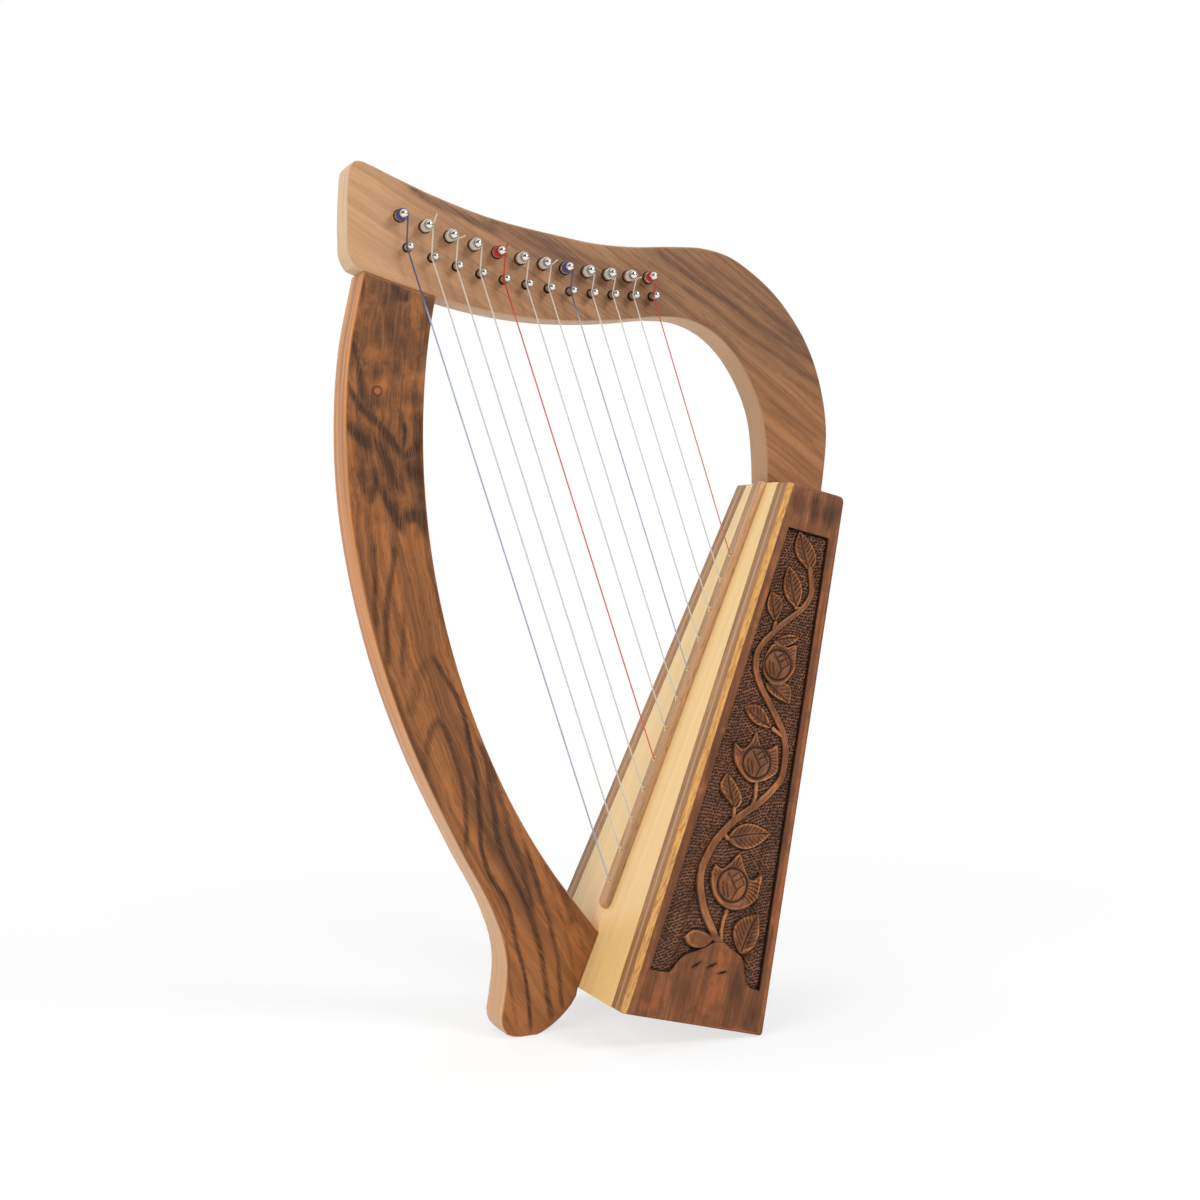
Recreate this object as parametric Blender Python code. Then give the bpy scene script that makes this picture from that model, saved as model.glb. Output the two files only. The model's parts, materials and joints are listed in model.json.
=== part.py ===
"""Twelve-string lap harp: a one-piece curved neck, a bowed pillar and a tapered soundbox.

Metres, +Z up. The harp stands on its pillar foot and on the back edge of its soundbox, at z = 0.
+X runs from the pillar to the soundbox, and the strings are seen from -Y, the near side.
The origin lies under the middle of the whole outline.
"""

import math

import bmesh
import bpy
import numpy as np
from mathutils import Matrix, Vector

# Fits: the air left between two pieces that are glued, seated or turn in each other.
CLEAR = 0.0003

# Soundbox. Its front (the soundboard) leans back, and its ends are cut on a slope.
BOX_FOOT_X = -0.0242
BOX_LEAN = math.radians(24.05)
BOX_END_SLOPE = math.radians(15.6)
BOX_LENGTH = 0.3432
BOX_WIDTH_LOW = 0.145
BOX_WIDTH_TOP = 0.0756
BOX_DEPTH_LOW = 0.0966
BOX_DEPTH_TOP = 0.0410
SIDE_THICKNESS = 0.016
SIDE_FRONT_CHAMFER = 0.003
SIDE_EASE = 0.0012
SIDE_TOP_CORNER = 0.004
BOARD_THICKNESS = 0.004
BACK_THICKNESS = 0.004
BACK_INSET = 0.001
TOP_BLOCK = 0.020
BOTTOM_BLOCK = 0.016
SOUND_HOLE_RADII = (0.018, 0.0155, 0.0125)
SOUND_HOLE_FIRST = 0.085
SOUND_HOLE_PITCH = 0.078

# The sunk ground of the carving, measured on a side panel: in from its front edge and from its
# back edge, and down from its top end.
FIELD_DEPTH = 0.0022
FIELD_FRONT_MARGIN = 0.009
FIELD_BACK_MARGIN = 0.0071
FIELD_TOP_MARGIN = 0.028
FIELD_LOW_MARGIN = 0.030
FIELD_HUMP = 0.031

# String ribs on both faces of the soundboard, and the twelve string holes through them, whose
# places are shares of the soundbox's length.
STRINGS = 12
RIB_START = 0.0515
RIB_WIDTH = 0.013
RIB_HEIGHT = 0.0033
RIB_CHAMFER = 0.0021
INNER_RIB_WIDTH = 0.014
INNER_RIB_THICKNESS = 0.003
STRING_HOLE_FIRST_SHARE = 0.2008
STRING_HOLE_PITCH_SHARE = 0.0597
STRING_HOLE_LAST_SHARE = 0.0524
STRING_HOLE_RADIUS = 0.0012
EYELET_SEAT_RADIUS = 0.0017

# Neck and shoulder, one piece. Points are measured from the top front corner of the soundbox.
NECK_THICKNESS = 0.0235
NECK_NEAR_Y = -0.0040
NECK_EASE = 0.0012
NECK_STEP = 0.012
ARM_FOOT_SETBACK = 0.0018
ARM_FOOT_DEPTH = 0.0410
ARM_INNER = ((0.0017, 0.0192), (-0.0013, 0.0455), (-0.0124, 0.0717), (-0.0216, 0.0847),
             (-0.0365, 0.0975), (-0.0530, 0.1043))
NECK_UNDER = ((-0.0721, 0.1057), (-0.0997, 0.1033), (-0.1300, 0.1021), (-0.1597, 0.1033),
              (-0.1919, 0.1081), (-0.2195, 0.1149), (-0.2423, 0.1218), (-0.2632, 0.1288))
NECK_END = ((-0.2690, 0.1313), (-0.2723, 0.1372), (-0.2732, 0.1510), (-0.2725, 0.1690),
            (-0.2712, 0.1850))
NECK_CREST = ((-0.2702, 0.1898), (-0.2667, 0.1934), (-0.2622, 0.1934), (-0.2577, 0.1917))
NECK_TOP = ((-0.2445, 0.1859), (-0.2188, 0.1753), (-0.1876, 0.1648), (-0.1418, 0.1550),
            (-0.1119, 0.1503), (-0.0950, 0.1494), (-0.0604, 0.1504), (-0.0428, 0.1503),
            (-0.0238, 0.1462))
SHOULDER = ((-0.0032, 0.1340), (0.0111, 0.1216), (0.0218, 0.1089), (0.0304, 0.0961),
            (0.0368, 0.0831), (0.0444, 0.0571), (0.0468, 0.0308), (0.0457, 0.0177),
            (0.0439, 0.0046))

# Pillar. Its two edges bow off the straight line between their ends, at shares of the way up.
PILLAR_THICKNESS = 0.0295
PILLAR_NEAR_Y = -0.0050
PILLAR_EASE = 0.0015
PILLAR_TOP_OUT = -0.2636
PILLAR_TOP_IN = -0.2197
PILLAR_HEEL_OUT = -0.0482
PILLAR_HEEL_Z = 0.0335
PILLAR_SEAT = 0.0365
PILLAR_OUT_SHARES = (0.028, 0.06, 0.10, 0.20, 0.34, 0.46, 0.574, 0.686, 0.794, 0.90)
PILLAR_OUT_BOWS = (-0.0031, -0.0038, -0.0014, 0.0113, 0.0271, 0.0356, 0.0387, 0.0372, 0.0304, 0.0181)
PILLAR_IN_SHARES = (0.06, 0.112, 0.22, 0.355, 0.4825, 0.605, 0.7225, 0.8366, 0.9476)
PILLAR_IN_BOWS = (0.0102, 0.0187, 0.0321, 0.0420, 0.0457, 0.0440, 0.0373, 0.0259, 0.0098)
PILLAR_STEP = 0.0185
FOOT_ROUND = ((-0.0500, 0.0225), (-0.0515, 0.0090), (-0.0480, 0.0024), (-0.0395, 0.0000),
              (-0.0285, 0.0000), (-0.0187, 0.0044), (-0.0105, 0.0105), (-0.0050, 0.0160),
              (-0.0014, 0.0212))

# Tuning pins: a through pin with a squared drive end behind the neck and a domed string end.
PIN_ROW = ((-0.2406, 0.1620), (-0.1951, 0.1464), (-0.1510, 0.1364), (-0.0797, 0.1300))
PIN_SHANK_RADIUS = 0.0034
PIN_STRING_RADIUS = 0.0024
PIN_HEAD_RADIUS = 0.0027
PIN_REACH = 0.0115
PIN_DRIVE_SIZE = 0.0048
PIN_DRIVE_LENGTH = 0.011
PIN_SIDES = 10
ROW_CROWD = 0.06

# Guide pins: fixed grooved pins that set the upper end of each speaking length.
GUIDE_ROW = ((-0.2366, 0.1434), (-0.1908, 0.1291), (-0.1478, 0.1216), (-0.0775, 0.1184))
GUIDE_RADIUS = 0.0022
GUIDE_GROOVE_RADIUS = 0.00145
GUIDE_DEPTH = 0.014
GUIDE_REACH = 0.0100
GUIDE_SIDES = 10

# Strings: the level of their plane in front of the neck, and their radius from low to high.
STRING_LEVEL = 0.0070
STRING_RADIUS_LOW = 0.00048
STRING_RADIUS_HIGH = 0.00036
KNOT_RADIUS = 0.0015
COIL_TURNS = 3

MATERIALS = {
    "walnut_neck": ((0.255, 0.135, 0.070), 0.48, 0.0),
    "walnut_pillar": ((0.200, 0.098, 0.048), 0.46, 0.0),
    "walnut_carved": ((0.145, 0.068, 0.034), 0.50, 0.0),
    "spruce_board": ((0.720, 0.480, 0.235), 0.46, 0.0),
    "walnut_rib": ((0.270, 0.150, 0.080), 0.48, 0.0),
    "inner_wood": ((0.520, 0.350, 0.190), 0.60, 0.0),
    "back_walnut": ((0.210, 0.110, 0.055), 0.50, 0.0),
    "pin_chrome": ((0.780, 0.780, 0.790), 0.14, 1.0),
    "string_blue": ((0.055, 0.085, 0.270), 0.35, 0.0),
    "string_clear": ((0.780, 0.770, 0.720), 0.28, 0.0),
    "string_red": ((0.480, 0.030, 0.018), 0.35, 0.0),
}


def material(name):
    """The named material, made once from its colour, roughness and metallic value."""
    found = bpy.data.materials.get(name)
    if found:
        return found
    colour, roughness, metallic = MATERIALS[name]
    made = bpy.data.materials.new(name)
    made.use_nodes = True
    shader = made.node_tree.nodes["Principled BSDF"]
    shader.inputs["Base Color"].default_value = (*colour, 1.0)
    shader.inputs["Roughness"].default_value = roughness
    shader.inputs["Metallic"].default_value = metallic
    made.diffuse_color = (*colour, 1.0)
    return made


def add(name, data, slot, location=(0, 0, 0), smooth=None):
    """An object in the scene that holds the mesh or curve, in its material."""
    made = bpy.data.objects.new(name, data)
    bpy.context.scene.collection.objects.link(made)
    made.location = location
    if not data.materials:
        data.materials.append(material(slot))
    if smooth is not None:
        data.shade_smooth()
        data.set_sharp_from_angle(angle=smooth)
    return made


def mesh_from(build, name):
    """A mesh filled by the function, with its faces turned outwards."""
    shape = bmesh.new()
    build(shape)
    bmesh.ops.recalc_face_normals(shape, faces=shape.faces)
    data = bpy.data.meshes.new(name)
    shape.to_mesh(data)
    shape.free()
    return data


def cut(target, cutter):
    """Cuts the hidden cutter out of the target."""
    cutter.hide_render = True
    cutter.display_type = "WIRE"
    modifier = target.modifiers.new("cut_" + cutter.name, "BOOLEAN")
    modifier.operation = "DIFFERENCE"
    modifier.object = cutter


def ease(target, width, angle, segments=2):
    """Breaks the sharp edges of a plate, as a router or sandpaper does."""
    modifier = target.modifiers.new("eased_edges", "BEVEL")
    modifier.width = width
    modifier.segments = segments
    modifier.limit_method = "ANGLE"
    modifier.angle_limit = math.radians(angle)
    modifier.use_clamp_overlap = False


def smooth_run(points, step):
    """Points about one step apart on a smooth curve through the given ones."""
    points = [Vector(point) for point in points]
    ends = [points[0] * 2 - points[1]] + points + [points[-1] * 2 - points[-2]]
    run = []
    for before, start, stop, after in zip(ends, ends[1:], ends[2:], ends[3:]):
        span = (stop - start).length
        first, last = (start - before).length, (after - stop).length
        out = ((start - before) / first * span + (stop - start) * first / span) / (first + span)
        into = ((stop - start) / span * last + (after - stop) * span / last) / (span + last)
        count = max(1, round(span / step))
        for index in range(count):
            t = index / count
            run.append(start * (2 * t**3 - 3 * t**2 + 1) + out * span * (t**3 - 2 * t**2 + t)
                       + stop * (3 * t**2 - 2 * t**3) + into * span * (t**3 - t**2))
    return run + [points[-1]]


def plate(name, outline, near_y, thickness, slot, smooth=math.radians(35)):
    """A flat board: an outline in X and Z, extruded towards +Y."""
    def build(shape):
        face = shape.faces.new([shape.verts.new((x, near_y, z)) for x, z in outline])
        moved = bmesh.ops.extrude_face_region(shape, geom=[face])
        verts = [item for item in moved["geom"] if isinstance(item, bmesh.types.BMVert)]
        bmesh.ops.translate(shape, verts=verts, vec=(0, thickness, 0))
    return add(name, mesh_from(build, name), slot, smooth=smooth)


def loft(shape, rings):
    """Joins rings of equally many points into one closed body with flat ends."""
    rows = [[shape.verts.new(point) for point in ring] for ring in rings]
    count = len(rows[0])
    for low, high in zip(rows, rows[1:]):
        for index in range(count):
            after = (index + 1) % count
            shape.faces.new((low[index], low[after], high[after], high[index]))
    shape.faces.new(rows[0][::-1])
    shape.faces.new(rows[-1])
    return rows


def circle(radius, height, sides):
    """A ring of points at the height, on the local axis."""
    turns = [2 * math.pi * (index + 0.5) / sides for index in range(sides)]
    return [(radius * math.cos(turn), radius * math.sin(turn), height) for turn in turns]


def square(size, height, sides):
    """The same number of points, spread over the outline of a square with cut corners."""
    points = []
    for x, y, _ in circle(1.0, height, sides):
        reach = max(abs(x), abs(y), (abs(x) + abs(y)) / 1.7)
        points.append((x / reach * size / 2, y / reach * size / 2, height))
    return points


def rods(shape, places, radius, start, end, sides):
    """Straight round bars with their own axis and place, for cutters."""
    for place, axis in places:
        turn = axis.to_track_quat("Z", "Y").to_matrix().to_4x4()
        frame = Matrix.Translation(place) @ turn
        loft(shape, [[frame @ Vector(point) for point in circle(radius, height, sides)]
                     for height in (start, end)])


# Directions of the soundbox: up its front, squarely into it, and down its sloping ends.
UP_FRONT = Vector((math.sin(BOX_LEAN), 0, math.cos(BOX_LEAN)))
INTO_BOX = Vector((math.cos(BOX_LEAN), 0, -math.sin(BOX_LEAN)))
END_LINE = Vector((math.cos(BOX_END_SLOPE), 0, -math.sin(BOX_END_SLOPE)))
ACROSS = Vector((0, 1, 0))
FRONT_LOW = Vector((BOX_FOOT_X, 0, BOX_DEPTH_LOW * math.sin(BOX_END_SLOPE)))
FRONT_TOP = FRONT_LOW + UP_FRONT * BOX_LENGTH
# Going into the box by one unit squarely, an end face climbs this much along the front.
END_RISE = END_LINE.dot(UP_FRONT) / END_LINE.dot(INTO_BOX)
WIDTHS = (BOX_WIDTH_LOW, BOX_WIDTH_TOP)
DEPTHS = (BOX_DEPTH_LOW, BOX_DEPTH_TOP)


def box_point(end, along_end, y):
    """A point on the lower (0) or upper (1) end face, measured from its front edge."""
    return (FRONT_LOW, FRONT_TOP)[end] + END_LINE * along_end + ACROSS * y


def inner_half(end):
    """Half the width between the two side panels at an end, less the glue line."""
    return WIDTHS[end] / 2 - SIDE_THICKNESS - CLEAR


def side_panel(name, side):
    """A thick carved side, with a chamfered front corner. side is -1 for the near one."""
    def build(shape):
        rings = []
        for end in (0, 1):
            outer = side * WIDTHS[end] / 2
            inner = outer - side * SIDE_THICKNESS
            depth = DEPTHS[end]
            rings.append([
                box_point(end, 0, inner),
                box_point(end, 0, outer - side * SIDE_FRONT_CHAMFER),
                box_point(end, SIDE_FRONT_CHAMFER, outer),
                box_point(end, depth, outer),
                box_point(end, depth, inner),
            ])
        rows = loft(shape, rings)
        corner = [edge for edge in rows[1][3].link_edges if edge.other_vert(rows[1][3]) is rows[1][4]]
        bmesh.ops.bevel(shape, geom=corner, offset=SIDE_TOP_CORNER, segments=4, profile=0.5,
                        affect="EDGES")
    panel = add(name, mesh_from(build, name), "walnut_carved", smooth=math.radians(40))
    ease(panel, SIDE_EASE, 60)
    return panel


def side_frame(side):
    """The outer face of a side panel: its origin, its way back, its way up and its outward way."""
    low = box_point(0, 0, side * WIDTHS[0] / 2)
    up = (box_point(1, 0, side * WIDTHS[1] / 2) - low).normalized()
    out = up.cross(END_LINE).normalized() * side
    if out.y * side < 0:
        out.negate()
    back = (END_LINE - up * END_LINE.dot(up)).normalized()
    return low, back, up, out


def field_outline(side):
    """The sunk ground of the carving, in the plane of the side panel: (way back, way up)."""
    low, back, up, _ = side_frame(side)

    def flat(point):
        return Vector(((point - low).dot(back), (point - low).dot(up)))

    front_low, front_top = flat(low), flat(box_point(1, 0, side * WIDTHS[1] / 2))
    back_low = flat(box_point(0, DEPTHS[0], side * WIDTHS[0] / 2))
    back_top = flat(box_point(1, DEPTHS[1], side * WIDTHS[1] / 2))
    rise = (back_top - back_low).normalized()
    inward = Vector((-rise.y, rise.x))
    tilt = (back_top - front_top).normalized()

    def on_back(height):
        share = (height - back_low.y) / (back_top.y - back_low.y)
        return back_low + (back_top - back_low) * share + inward * FIELD_BACK_MARGIN

    top = front_top.y - FIELD_TOP_MARGIN
    bottom = front_low.y + FIELD_LOW_MARGIN
    right_top = on_back(top + tilt.y * 0.030)
    right_low = on_back(bottom + 0.0095)
    left_top = Vector((FIELD_FRONT_MARGIN, top))
    left_low = Vector((FIELD_FRONT_MARGIN, bottom))
    width = right_low.x - left_low.x
    hump = [Vector((left_low.x + width * share, bottom + FIELD_HUMP * rise_share))
            for share, rise_share in ((0.175, 0.06), (0.27, 0.50), (0.42, 0.74), (0.56, 1.0),
                                      (0.70, 0.90), (0.80, 0.72), (0.905, 0.30))]
    return [left_top, left_low] + smooth_run(hump, 0.004) + [right_low, right_top]


def field_cutter(name, side):
    """The solid that sinks the carving's ground into a side panel."""
    low, back, up, out = side_frame(side)

    def build(shape):
        rings = []
        for level in (-FIELD_DEPTH, 0.004):
            rings.append([low + back * u + up * v + out * level for u, v in field_outline(side)])
        loft(shape, rings)
    return add(name, mesh_from(build, name), "walnut_carved")


def front_point(along, depth, y):
    """A point measured up the soundboard's face, squarely into the box, and across it."""
    return FRONT_LOW + UP_FRONT * along + INTO_BOX * depth + ACROSS * y


def hole_places():
    """How far up the soundboard each string hole lies."""
    steps = [STRING_HOLE_PITCH_SHARE] * (STRINGS - 2) + [STRING_HOLE_LAST_SHARE]
    places = [STRING_HOLE_FIRST_SHARE]
    for step in steps:
        places.append(places[-1] + step)
    return [BOX_LENGTH * place for place in places]


def string_hole_cutter(name, radius, low, high):
    """Twelve short bars across the soundboard, between two depths."""
    places = [(front_point(along, 0, 0), INTO_BOX) for along in hole_places()]
    return add(name, mesh_from(lambda shape: rods(shape, places, radius, low, high, 8), name),
               "spruce_board")


def make_soundbox():
    near = side_panel("side_panel_near", -1)
    far = side_panel("side_panel_far", 1)
    cut(near, field_cutter("field_near", -1))
    cut(far, field_cutter("field_far", 1))

    def board(shape):
        loft(shape, [[box_point(end, depth, y) for depth, y in
                      ((0, -inner_half(end)), (0, inner_half(end)),
                       (BOARD_THICKNESS, inner_half(end)), (BOARD_THICKNESS, -inner_half(end)))]
                     for end in (0, 1)])
    soundboard = add("soundboard", mesh_from(board, "soundboard"), "spruce_board")
    inner_low = BOARD_THICKNESS + CLEAR + INNER_RIB_THICKNESS
    cut(soundboard, string_hole_cutter("board_holes", STRING_HOLE_RADIUS, -0.002, inner_low))

    def back(shape):
        rings = []
        for end in (0, 1):
            outer = DEPTHS[end] - BACK_INSET
            rings.append([box_point(end, depth, y) for depth, y in
                          ((outer - BACK_THICKNESS, -inner_half(end)),
                           (outer - BACK_THICKNESS, inner_half(end)),
                           (outer, inner_half(end)), (outer, -inner_half(end)))])
        loft(shape, rings)
    back_panel = add("back_panel", mesh_from(back, "back_panel"), "back_walnut")
    back_low = box_point(0, DEPTHS[0] - BACK_INSET, 0)
    back_up = (box_point(1, DEPTHS[1] - BACK_INSET, 0) - back_low).normalized()
    outward = Vector((back_up.z, 0, -back_up.x))

    def sound_holes(shape):
        for index, radius in enumerate(SOUND_HOLE_RADII):
            centre = back_low + back_up * (SOUND_HOLE_FIRST + SOUND_HOLE_PITCH * index)
            rods(shape, [(centre, outward)], radius, -2 * BACK_THICKNESS, BACK_THICKNESS, 32)
    cut(back_panel, add("sound_holes", mesh_from(sound_holes, "sound_holes"), "back_walnut"))

    def block(end, height):
        """A block between the sides that closes one end and ends squarely inside."""
        def build(shape):
            rings = []
            for level in (0, height):
                share = level / BOX_LENGTH
                if end:
                    share = 1 - share
                half = (WIDTHS[0] + (WIDTHS[1] - WIDTHS[0]) * share) / 2 - SIDE_THICKNESS - CLEAR
                start = FRONT_LOW + UP_FRONT * BOX_LENGTH * share
                depth = DEPTHS[0] + (DEPTHS[1] - DEPTHS[0]) * share
                front = BOARD_THICKNESS + CLEAR
                rear = depth - BACK_INSET - BACK_THICKNESS - CLEAR
                rings.append([start + END_LINE * along + ACROSS * y for along, y in
                              ((front, -half), (front, half), (rear, half), (rear, -half))])
            loft(shape, rings)
        return build
    add("bottom_block", mesh_from(block(0, BOTTOM_BLOCK), "bottom_block"), "inner_wood")
    add("top_block", mesh_from(block(1, TOP_BLOCK), "top_block"), "inner_wood")


def make_ribs():
    """The outer string rib, with a round lower end and chamfered sides, and the inner rib."""
    def build(shape):
        half = RIB_WIDTH / 2
        plan = [(BOX_LENGTH, -half), (BOX_LENGTH, half)]
        for index in range(9):
            turn = math.pi / 2 + math.pi * index / 8
            plan.append((RIB_START + half + half * math.cos(turn), half * math.sin(turn)))
        low = [front_point(along, -CLEAR, y) for along, y in plan]
        face = shape.faces.new([shape.verts.new(point) for point in low])
        moved = bmesh.ops.extrude_face_region(shape, geom=[face])
        verts = [item for item in moved["geom"] if isinstance(item, bmesh.types.BMVert)]
        bmesh.ops.translate(shape, verts=verts, vec=INTO_BOX * -RIB_HEIGHT)
        top = [item for item in moved["geom"] if isinstance(item, bmesh.types.BMFace)][0]
        rim = [edge for edge in top.edges
               if not all(abs((vert.co - FRONT_TOP).dot(UP_FRONT)) < 1e-6 for vert in edge.verts)]
        bmesh.ops.bevel(shape, geom=rim, offset=RIB_CHAMFER, segments=2, profile=0.6,
                        affect="EDGES")
    rib = add("string_rib", mesh_from(build, "string_rib"), "walnut_rib", smooth=math.radians(30))
    cut(rib, string_hole_cutter("eyelet_seats", EYELET_SEAT_RADIUS, -0.006, 0.002))

    def inner(shape):
        front = BOARD_THICKNESS
        start = BOTTOM_BLOCK + CLEAR + (front + INNER_RIB_THICKNESS) * END_RISE
        stop = BOX_LENGTH - TOP_BLOCK - CLEAR
        rings = []
        for along in (start, stop):
            rings.append([front_point(along, depth, y) for depth, y in
                          ((front + CLEAR, -INNER_RIB_WIDTH / 2), (front + CLEAR, INNER_RIB_WIDTH / 2),
                           (front + CLEAR + INNER_RIB_THICKNESS, INNER_RIB_WIDTH / 2),
                           (front + CLEAR + INNER_RIB_THICKNESS, -INNER_RIB_WIDTH / 2))])
        loft(shape, rings)
    inner_rib = add("inner_string_rib", mesh_from(inner, "inner_string_rib"), "inner_wood")
    cut(inner_rib, string_hole_cutter("inner_rib_holes", STRING_HOLE_RADIUS, 0.002, 0.012))


def from_corner(points):
    """Points given from the soundbox's top front corner, as (x, z) in the harp's frame."""
    return [(FRONT_TOP.x + x, FRONT_TOP.z + z) for x, z in points]


def arm_foot():
    """The two ends of the arm's foot, where it stands on the upper end of the soundbox."""
    lift = Vector((math.sin(BOX_END_SLOPE), 0, math.cos(BOX_END_SLOPE))) * CLEAR
    front = FRONT_TOP + END_LINE * ARM_FOOT_SETBACK + lift
    back = front + END_LINE * ARM_FOOT_DEPTH
    return (front.x, front.z), (back.x, back.z)


def neck_outline():
    front, back = arm_foot()
    under = smooth_run([front] + from_corner(ARM_INNER + NECK_UNDER), NECK_STEP)
    end = smooth_run(from_corner(NECK_END), NECK_STEP)
    crest = smooth_run(from_corner(NECK_CREST + NECK_TOP + SHOULDER) + [back], NECK_STEP)
    return under + end + crest


def under_neck(x):
    """The height of the neck's underside at x."""
    run = smooth_run(from_corner(NECK_UNDER), NECK_STEP)
    return float(np.interp(x, [point[0] for point in run][::-1], [point[1] for point in run][::-1]))


def row(points, count):
    """Places on the cubic through four points, a little closer together at the treble end."""
    xs, zs = zip(*from_corner(points))
    curve = np.polyfit(xs, zs, 3)
    share = np.linspace(0, 1, count)
    places = xs[0] + (xs[-1] - xs[0]) * (share * (1 + ROW_CROWD) - share**2 * ROW_CROWD)
    return [(float(x), float(np.polyval(curve, x))) for x in places]


def make_neck():
    neck = plate("neck", neck_outline(), NECK_NEAR_Y, NECK_THICKNESS, "walnut_neck")
    ease(neck, NECK_EASE, 50)
    toward = Vector((0, -1, 0))

    def pin_bores(shape):
        places = [(Vector((x, NECK_NEAR_Y, z)), toward) for x, z in row(PIN_ROW, STRINGS)]
        rods(shape, places, PIN_SHANK_RADIUS + CLEAR, -NECK_THICKNESS - 0.01, 0.01, PIN_SIDES)

    def guide_bores(shape):
        places = [(Vector((x, NECK_NEAR_Y, z)), toward) for x, z in row(GUIDE_ROW, STRINGS)]
        rods(shape, places, GUIDE_RADIUS + CLEAR, -GUIDE_DEPTH - CLEAR, 0.01, GUIDE_SIDES)
    cut(neck, add("pin_bores", mesh_from(pin_bores, "pin_bores"), "walnut_neck"))
    cut(neck, add("guide_bores", mesh_from(guide_bores, "guide_bores"), "walnut_neck"))


def bowed(low, high, shares, bows):
    """Points on an edge that bows off the straight line from low to high."""
    low, high = Vector(low), Vector(high)
    off = Vector((low.y - high.y, high.x - low.x)).normalized()
    return [low + (high - low) * share + off * bow for share, bow in zip(shares, bows)]


def make_pillar():
    """The bowed pillar: its head is cut to the neck's underside, its toe to the soundboard."""
    seat = FRONT_LOW + UP_FRONT * PILLAR_SEAT - INTO_BOX * CLEAR
    heel = (FRONT_LOW.x + PILLAR_HEEL_OUT, PILLAR_HEEL_Z)
    out_x, in_x = FRONT_TOP.x + PILLAR_TOP_OUT, FRONT_TOP.x + PILLAR_TOP_IN
    top_out = (out_x, under_neck(out_x) - CLEAR)
    top_in = (in_x, under_neck(in_x) - CLEAR)
    head = [(x, under_neck(x) - CLEAR) for x in np.linspace(out_x, in_x, 7)[1:-1]]
    low_in = (seat.x, seat.z)
    inner = [top_in] + bowed(low_in, top_in, PILLAR_IN_SHARES, PILLAR_IN_BOWS)[::-1] + [low_in]
    outer = [heel] + bowed(heel, top_out, PILLAR_OUT_SHARES, PILLAR_OUT_BOWS) + [top_out]
    toe = FRONT_LOW - INTO_BOX * CLEAR
    foot = [(FRONT_LOW.x + x, z) for x, z in FOOT_ROUND]
    outline = ([tuple(point) for point in head] + smooth_run(inner, PILLAR_STEP)
               + [(toe.x, toe.z)] + smooth_run(foot[::-1] + outer, PILLAR_STEP))
    pillar = plate("pillar", outline, PILLAR_NEAR_Y, PILLAR_THICKNESS, "walnut_pillar")
    ease(pillar, PILLAR_EASE, 50)


def pin_mesh():
    """A tuning pin about its own axis. z = 0 is the neck's near face, +z points at the viewer."""
    behind = -NECK_THICKNESS
    sides = PIN_SIDES

    def build(shape):
        loft(shape, [
            square(PIN_DRIVE_SIZE * 0.8, behind - 0.0015 - PIN_DRIVE_LENGTH, sides),
            square(PIN_DRIVE_SIZE, behind - 0.0025 - PIN_DRIVE_LENGTH + 0.002, sides),
            square(PIN_DRIVE_SIZE, behind - 0.0025, sides),
            circle(PIN_SHANK_RADIUS, behind - 0.0012, sides),
            circle(PIN_SHANK_RADIUS, 0.0026, sides),
            circle(PIN_STRING_RADIUS, 0.0034, sides),
            circle(PIN_STRING_RADIUS, STRING_LEVEL + 0.0009, sides),
            circle(PIN_HEAD_RADIUS, STRING_LEVEL + 0.0014, sides),
            circle(PIN_HEAD_RADIUS, PIN_REACH - 0.0018, sides),
            circle(PIN_HEAD_RADIUS * 0.78, PIN_REACH - 0.0006, sides),
            circle(PIN_HEAD_RADIUS * 0.35, PIN_REACH, sides),
        ])
    return mesh_from(build, "tuning_pin")


def guide_mesh():
    """A guide pin about its own axis, with a waist that the string lies in."""
    def build(shape):
        loft(shape, [
            circle(GUIDE_RADIUS * 0.75, -GUIDE_DEPTH, GUIDE_SIDES),
            circle(GUIDE_RADIUS, -GUIDE_DEPTH + 0.0010, GUIDE_SIDES),
            circle(GUIDE_RADIUS, STRING_LEVEL - 0.0016, GUIDE_SIDES),
            circle(GUIDE_GROOVE_RADIUS, STRING_LEVEL - 0.0004, GUIDE_SIDES),
            circle(GUIDE_GROOVE_RADIUS, STRING_LEVEL + 0.0004, GUIDE_SIDES),
            circle(GUIDE_RADIUS, STRING_LEVEL + 0.0014, GUIDE_SIDES),
            circle(GUIDE_RADIUS * 0.86, GUIDE_REACH - 0.0006, GUIDE_SIDES),
            circle(GUIDE_RADIUS * 0.40, GUIDE_REACH, GUIDE_SIDES),
        ])
    return mesh_from(build, "guide_pin")


def coil_mesh(radius, name):
    """The turns of string already wound on a tuning pin, as one ring with a ridge per turn."""
    inner = PIN_STRING_RADIUS + CLEAR
    top = STRING_LEVEL - radius - CLEAR
    profile = [(inner, top - 2 * radius * COIL_TURNS), (inner, top)]
    for turn in range(COIL_TURNS):
        profile.append((inner + 2 * radius, top - radius * (2 * turn + 1)))
        if turn + 1 < COIL_TURNS:
            profile.append((inner + 1.2 * radius, top - radius * (2 * turn + 2)))

    def build(shape):
        rows = []
        for index in range(PIN_SIDES):
            turn = 2 * math.pi * (index + 0.5) / PIN_SIDES
            rows.append([shape.verts.new((r * math.cos(turn), r * math.sin(turn), z))
                         for r, z in profile])
        for index, here in enumerate(rows):
            there = rows[(index + 1) % PIN_SIDES]
            for corner in range(len(profile)):
                after = (corner + 1) % len(profile)
                shape.faces.new((here[corner], here[after], there[after], there[corner]))
    return mesh_from(build, name)


def string_radius(index):
    share = index / (STRINGS - 1)
    return STRING_RADIUS_LOW + (STRING_RADIUS_HIGH - STRING_RADIUS_LOW) * share


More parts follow.
